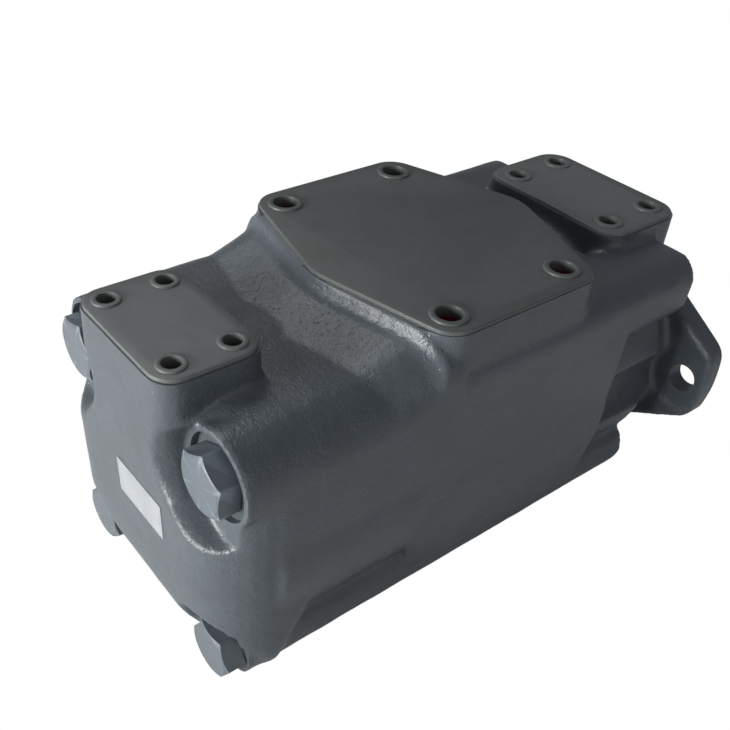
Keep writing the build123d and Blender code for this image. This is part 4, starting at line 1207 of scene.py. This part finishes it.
MIDDLE = Vector((-0.15, 0, 0))  # the lights aim at this place on the shaft's axis
CAMERA_PLACE = (-0.4695, -0.2920, 0.3167)
AZIMUTH, ELEVATION, ROLL = (math.radians(degrees) for degrees in (-129.25, 42.74, 3.70))


class PUMP_OT_stage(bpy.types.Operator):
    """Pale floor, soft lights and the camera"""

    bl_idname = "pump.stage"
    bl_label = "Stage"

    def execute(self, context):
        scene = context.scene
        stage = scene.pump_stage
        bm = bmesh.new()
        bmesh.ops.create_grid(bm, x_segments=8, y_segments=8, size=3.0)
        bmesh.ops.translate(bm, verts=bm.verts, vec=(MIDDLE.x, 0, CAD_BOUNDS[0][2] - 0.1 * MM))
        floor = object_from(bm, "floor")
        floor.data.materials.append(floor_material())
        pale_world(scene, stage.ambient)
        area_light("key_light", place=(-1.85, 0.15, 0.26), size=0.8, power=stage.key_power)
        area_light("fill_light", place=(-0.35, -1.6, 0.55), size=1.2, power=stage.fill_power)
        area_light("top_light", place=(-0.15, 1.0, 1.45), size=0.7, power=stage.fill_power * 2.0)
        camera = bpy.data.cameras.new("camera")
        camera.sensor_width = 36.0
        camera.lens = 42.44
        camera.shift_x = 0.0685
        camera.shift_y = 0.137
        camera.clip_start = 0.01
        eye = bpy.data.objects.new("camera", camera)
        scene.collection.objects.link(eye)
        eye.matrix_world = camera_matrix()
        scene.camera = eye
        scene.view_settings.view_transform = "Standard"
        return {"FINISHED"}


def camera_matrix():
    """Place and turn of the camera, from its azimuth and elevation round the pump and its roll."""
    level = math.cos(ELEVATION)
    back = Vector((level * math.cos(AZIMUTH), level * math.sin(AZIMUTH), math.sin(ELEVATION)))
    right = Vector((-math.sin(AZIMUTH), math.cos(AZIMUTH), 0))
    up = back.cross(right)
    turned_right = right * math.cos(ROLL) + up * math.sin(ROLL)
    turned_up = up * math.cos(ROLL) - right * math.sin(ROLL)
    turn = Matrix((turned_right, turned_up, back)).transposed()
    return Matrix.Translation(CAMERA_PLACE) @ turn.to_4x4()


def area_light(name, place, size, power):
    lamp = bpy.data.lights.new(name, "AREA")
    lamp.shape = "DISK"
    lamp.size = size
    lamp.energy = power
    holder = bpy.data.objects.new(name, lamp)
    bpy.context.scene.collection.objects.link(holder)
    aim = MIDDLE - Vector(place)
    holder.matrix_world = Matrix.Translation(place) @ aim.to_track_quat("-Z", "Y").to_matrix().to_4x4()


def show_or_light(tree, lighting, shown, output):
    """Show one shader to the camera, also through glass, and light the object with the other."""
    rays = node(tree, "ShaderNodeLightPath")
    seen = math_node(tree, "MAXIMUM", rays.outputs["Is Camera Ray"], rays.outputs["Is Transmission Ray"])
    mix = node(tree, "ShaderNodeMixShader")
    link(tree, seen, mix.inputs[0])
    link(tree, lighting, mix.inputs[1])
    link(tree, shown, mix.inputs[2])
    link(tree, mix.outputs[0], output)


def pale_world(scene, ambient):
    """Even light of the given strength, which the camera sees as plain white."""
    world = bpy.data.worlds.new("world")
    scene.world = world
    world.use_nodes = True
    tree = world.node_tree
    tree.nodes.clear()
    output = node(tree, "ShaderNodeOutputWorld")
    even = node(tree, "ShaderNodeBackground", Strength=ambient, Color=(0.93, 0.96, 1.0, 1))
    white = node(tree, "ShaderNodeBackground", Strength=1.0, Color=(1, 1, 1, 1))
    show_or_light(tree, even.outputs[0], white.outputs[0], output.inputs["Surface"])


def floor_material():
    """Pale floor that lights the pump from below and that the camera sees as plain white."""
    material, tree, shader, place = new_material("pale_floor")
    tone = node(tree, "ShaderNodeTexNoise", Scale=3.0, Detail=2.0)
    link(tree, place, tone.inputs["Vector"])
    base = tone_ramp(tree, tone.outputs[0], (0.86, 0.86, 0.86), (0.90, 0.90, 0.90))
    link(tree, base, shader.inputs["Base Color"])
    shader.inputs["Roughness"].default_value = 0.9
    white = node(tree, "ShaderNodeEmission", Strength=1.0)
    output = next(made for made in tree.nodes if made.type == "OUTPUT_MATERIAL")
    show_or_light(tree, shader.outputs[0], white.outputs[0], output.inputs["Surface"])
    return material


# ---------------------------------------------------------------- panel and registration

PIECES = (
    PUMP_OT_inner_finishes, PUMP_OT_centre_housing, PUMP_OT_end_cap, PUMP_OT_mounting_cap,
    PUMP_OT_port_covers, PUMP_OT_rear_bolts, PUMP_OT_front_bolts, PUMP_OT_nameplate, PUMP_OT_stage,
)
SETTINGS = {
    "pump_castings": PumpCastingSettings, "pump_paint": PumpPaintSettings, "pump_stage": PumpStageSettings,
}


class PUMP_PT_panel(bpy.types.Panel):
    """Lists the pump's settings and pieces"""

    bl_idname = "PUMP_PT_panel"
    bl_label = "Vane Pump"
    bl_space_type = "VIEW_3D"
    bl_region_type = "UI"
    bl_category = "Vane Pump"

    def draw(self, context):
        column = self.layout.column()
        for name, settings in SETTINGS.items():
            for key in settings.__annotations__:
                column.prop(getattr(context.scene, name), key)
        for piece in PIECES:
            column.operator(piece.bl_idname)


CLASSES = tuple(SETTINGS.values()) + PIECES + (PUMP_PT_panel,)


def register():
    for cls in CLASSES:
        bpy.utils.register_class(cls)
    for name, cls in SETTINGS.items():
        setattr(bpy.types.Scene, name, bpy.props.PointerProperty(type=cls))


def unregister():
    for name in SETTINGS:
        delattr(bpy.types.Scene, name)
    for cls in reversed(CLASSES):
        bpy.utils.unregister_class(cls)


def main():
    register()
    for piece in PIECES:
        group, name = piece.bl_idname.split(".")
        getattr(getattr(bpy.ops, group), name)()


if __name__ == "__main__":
    main()
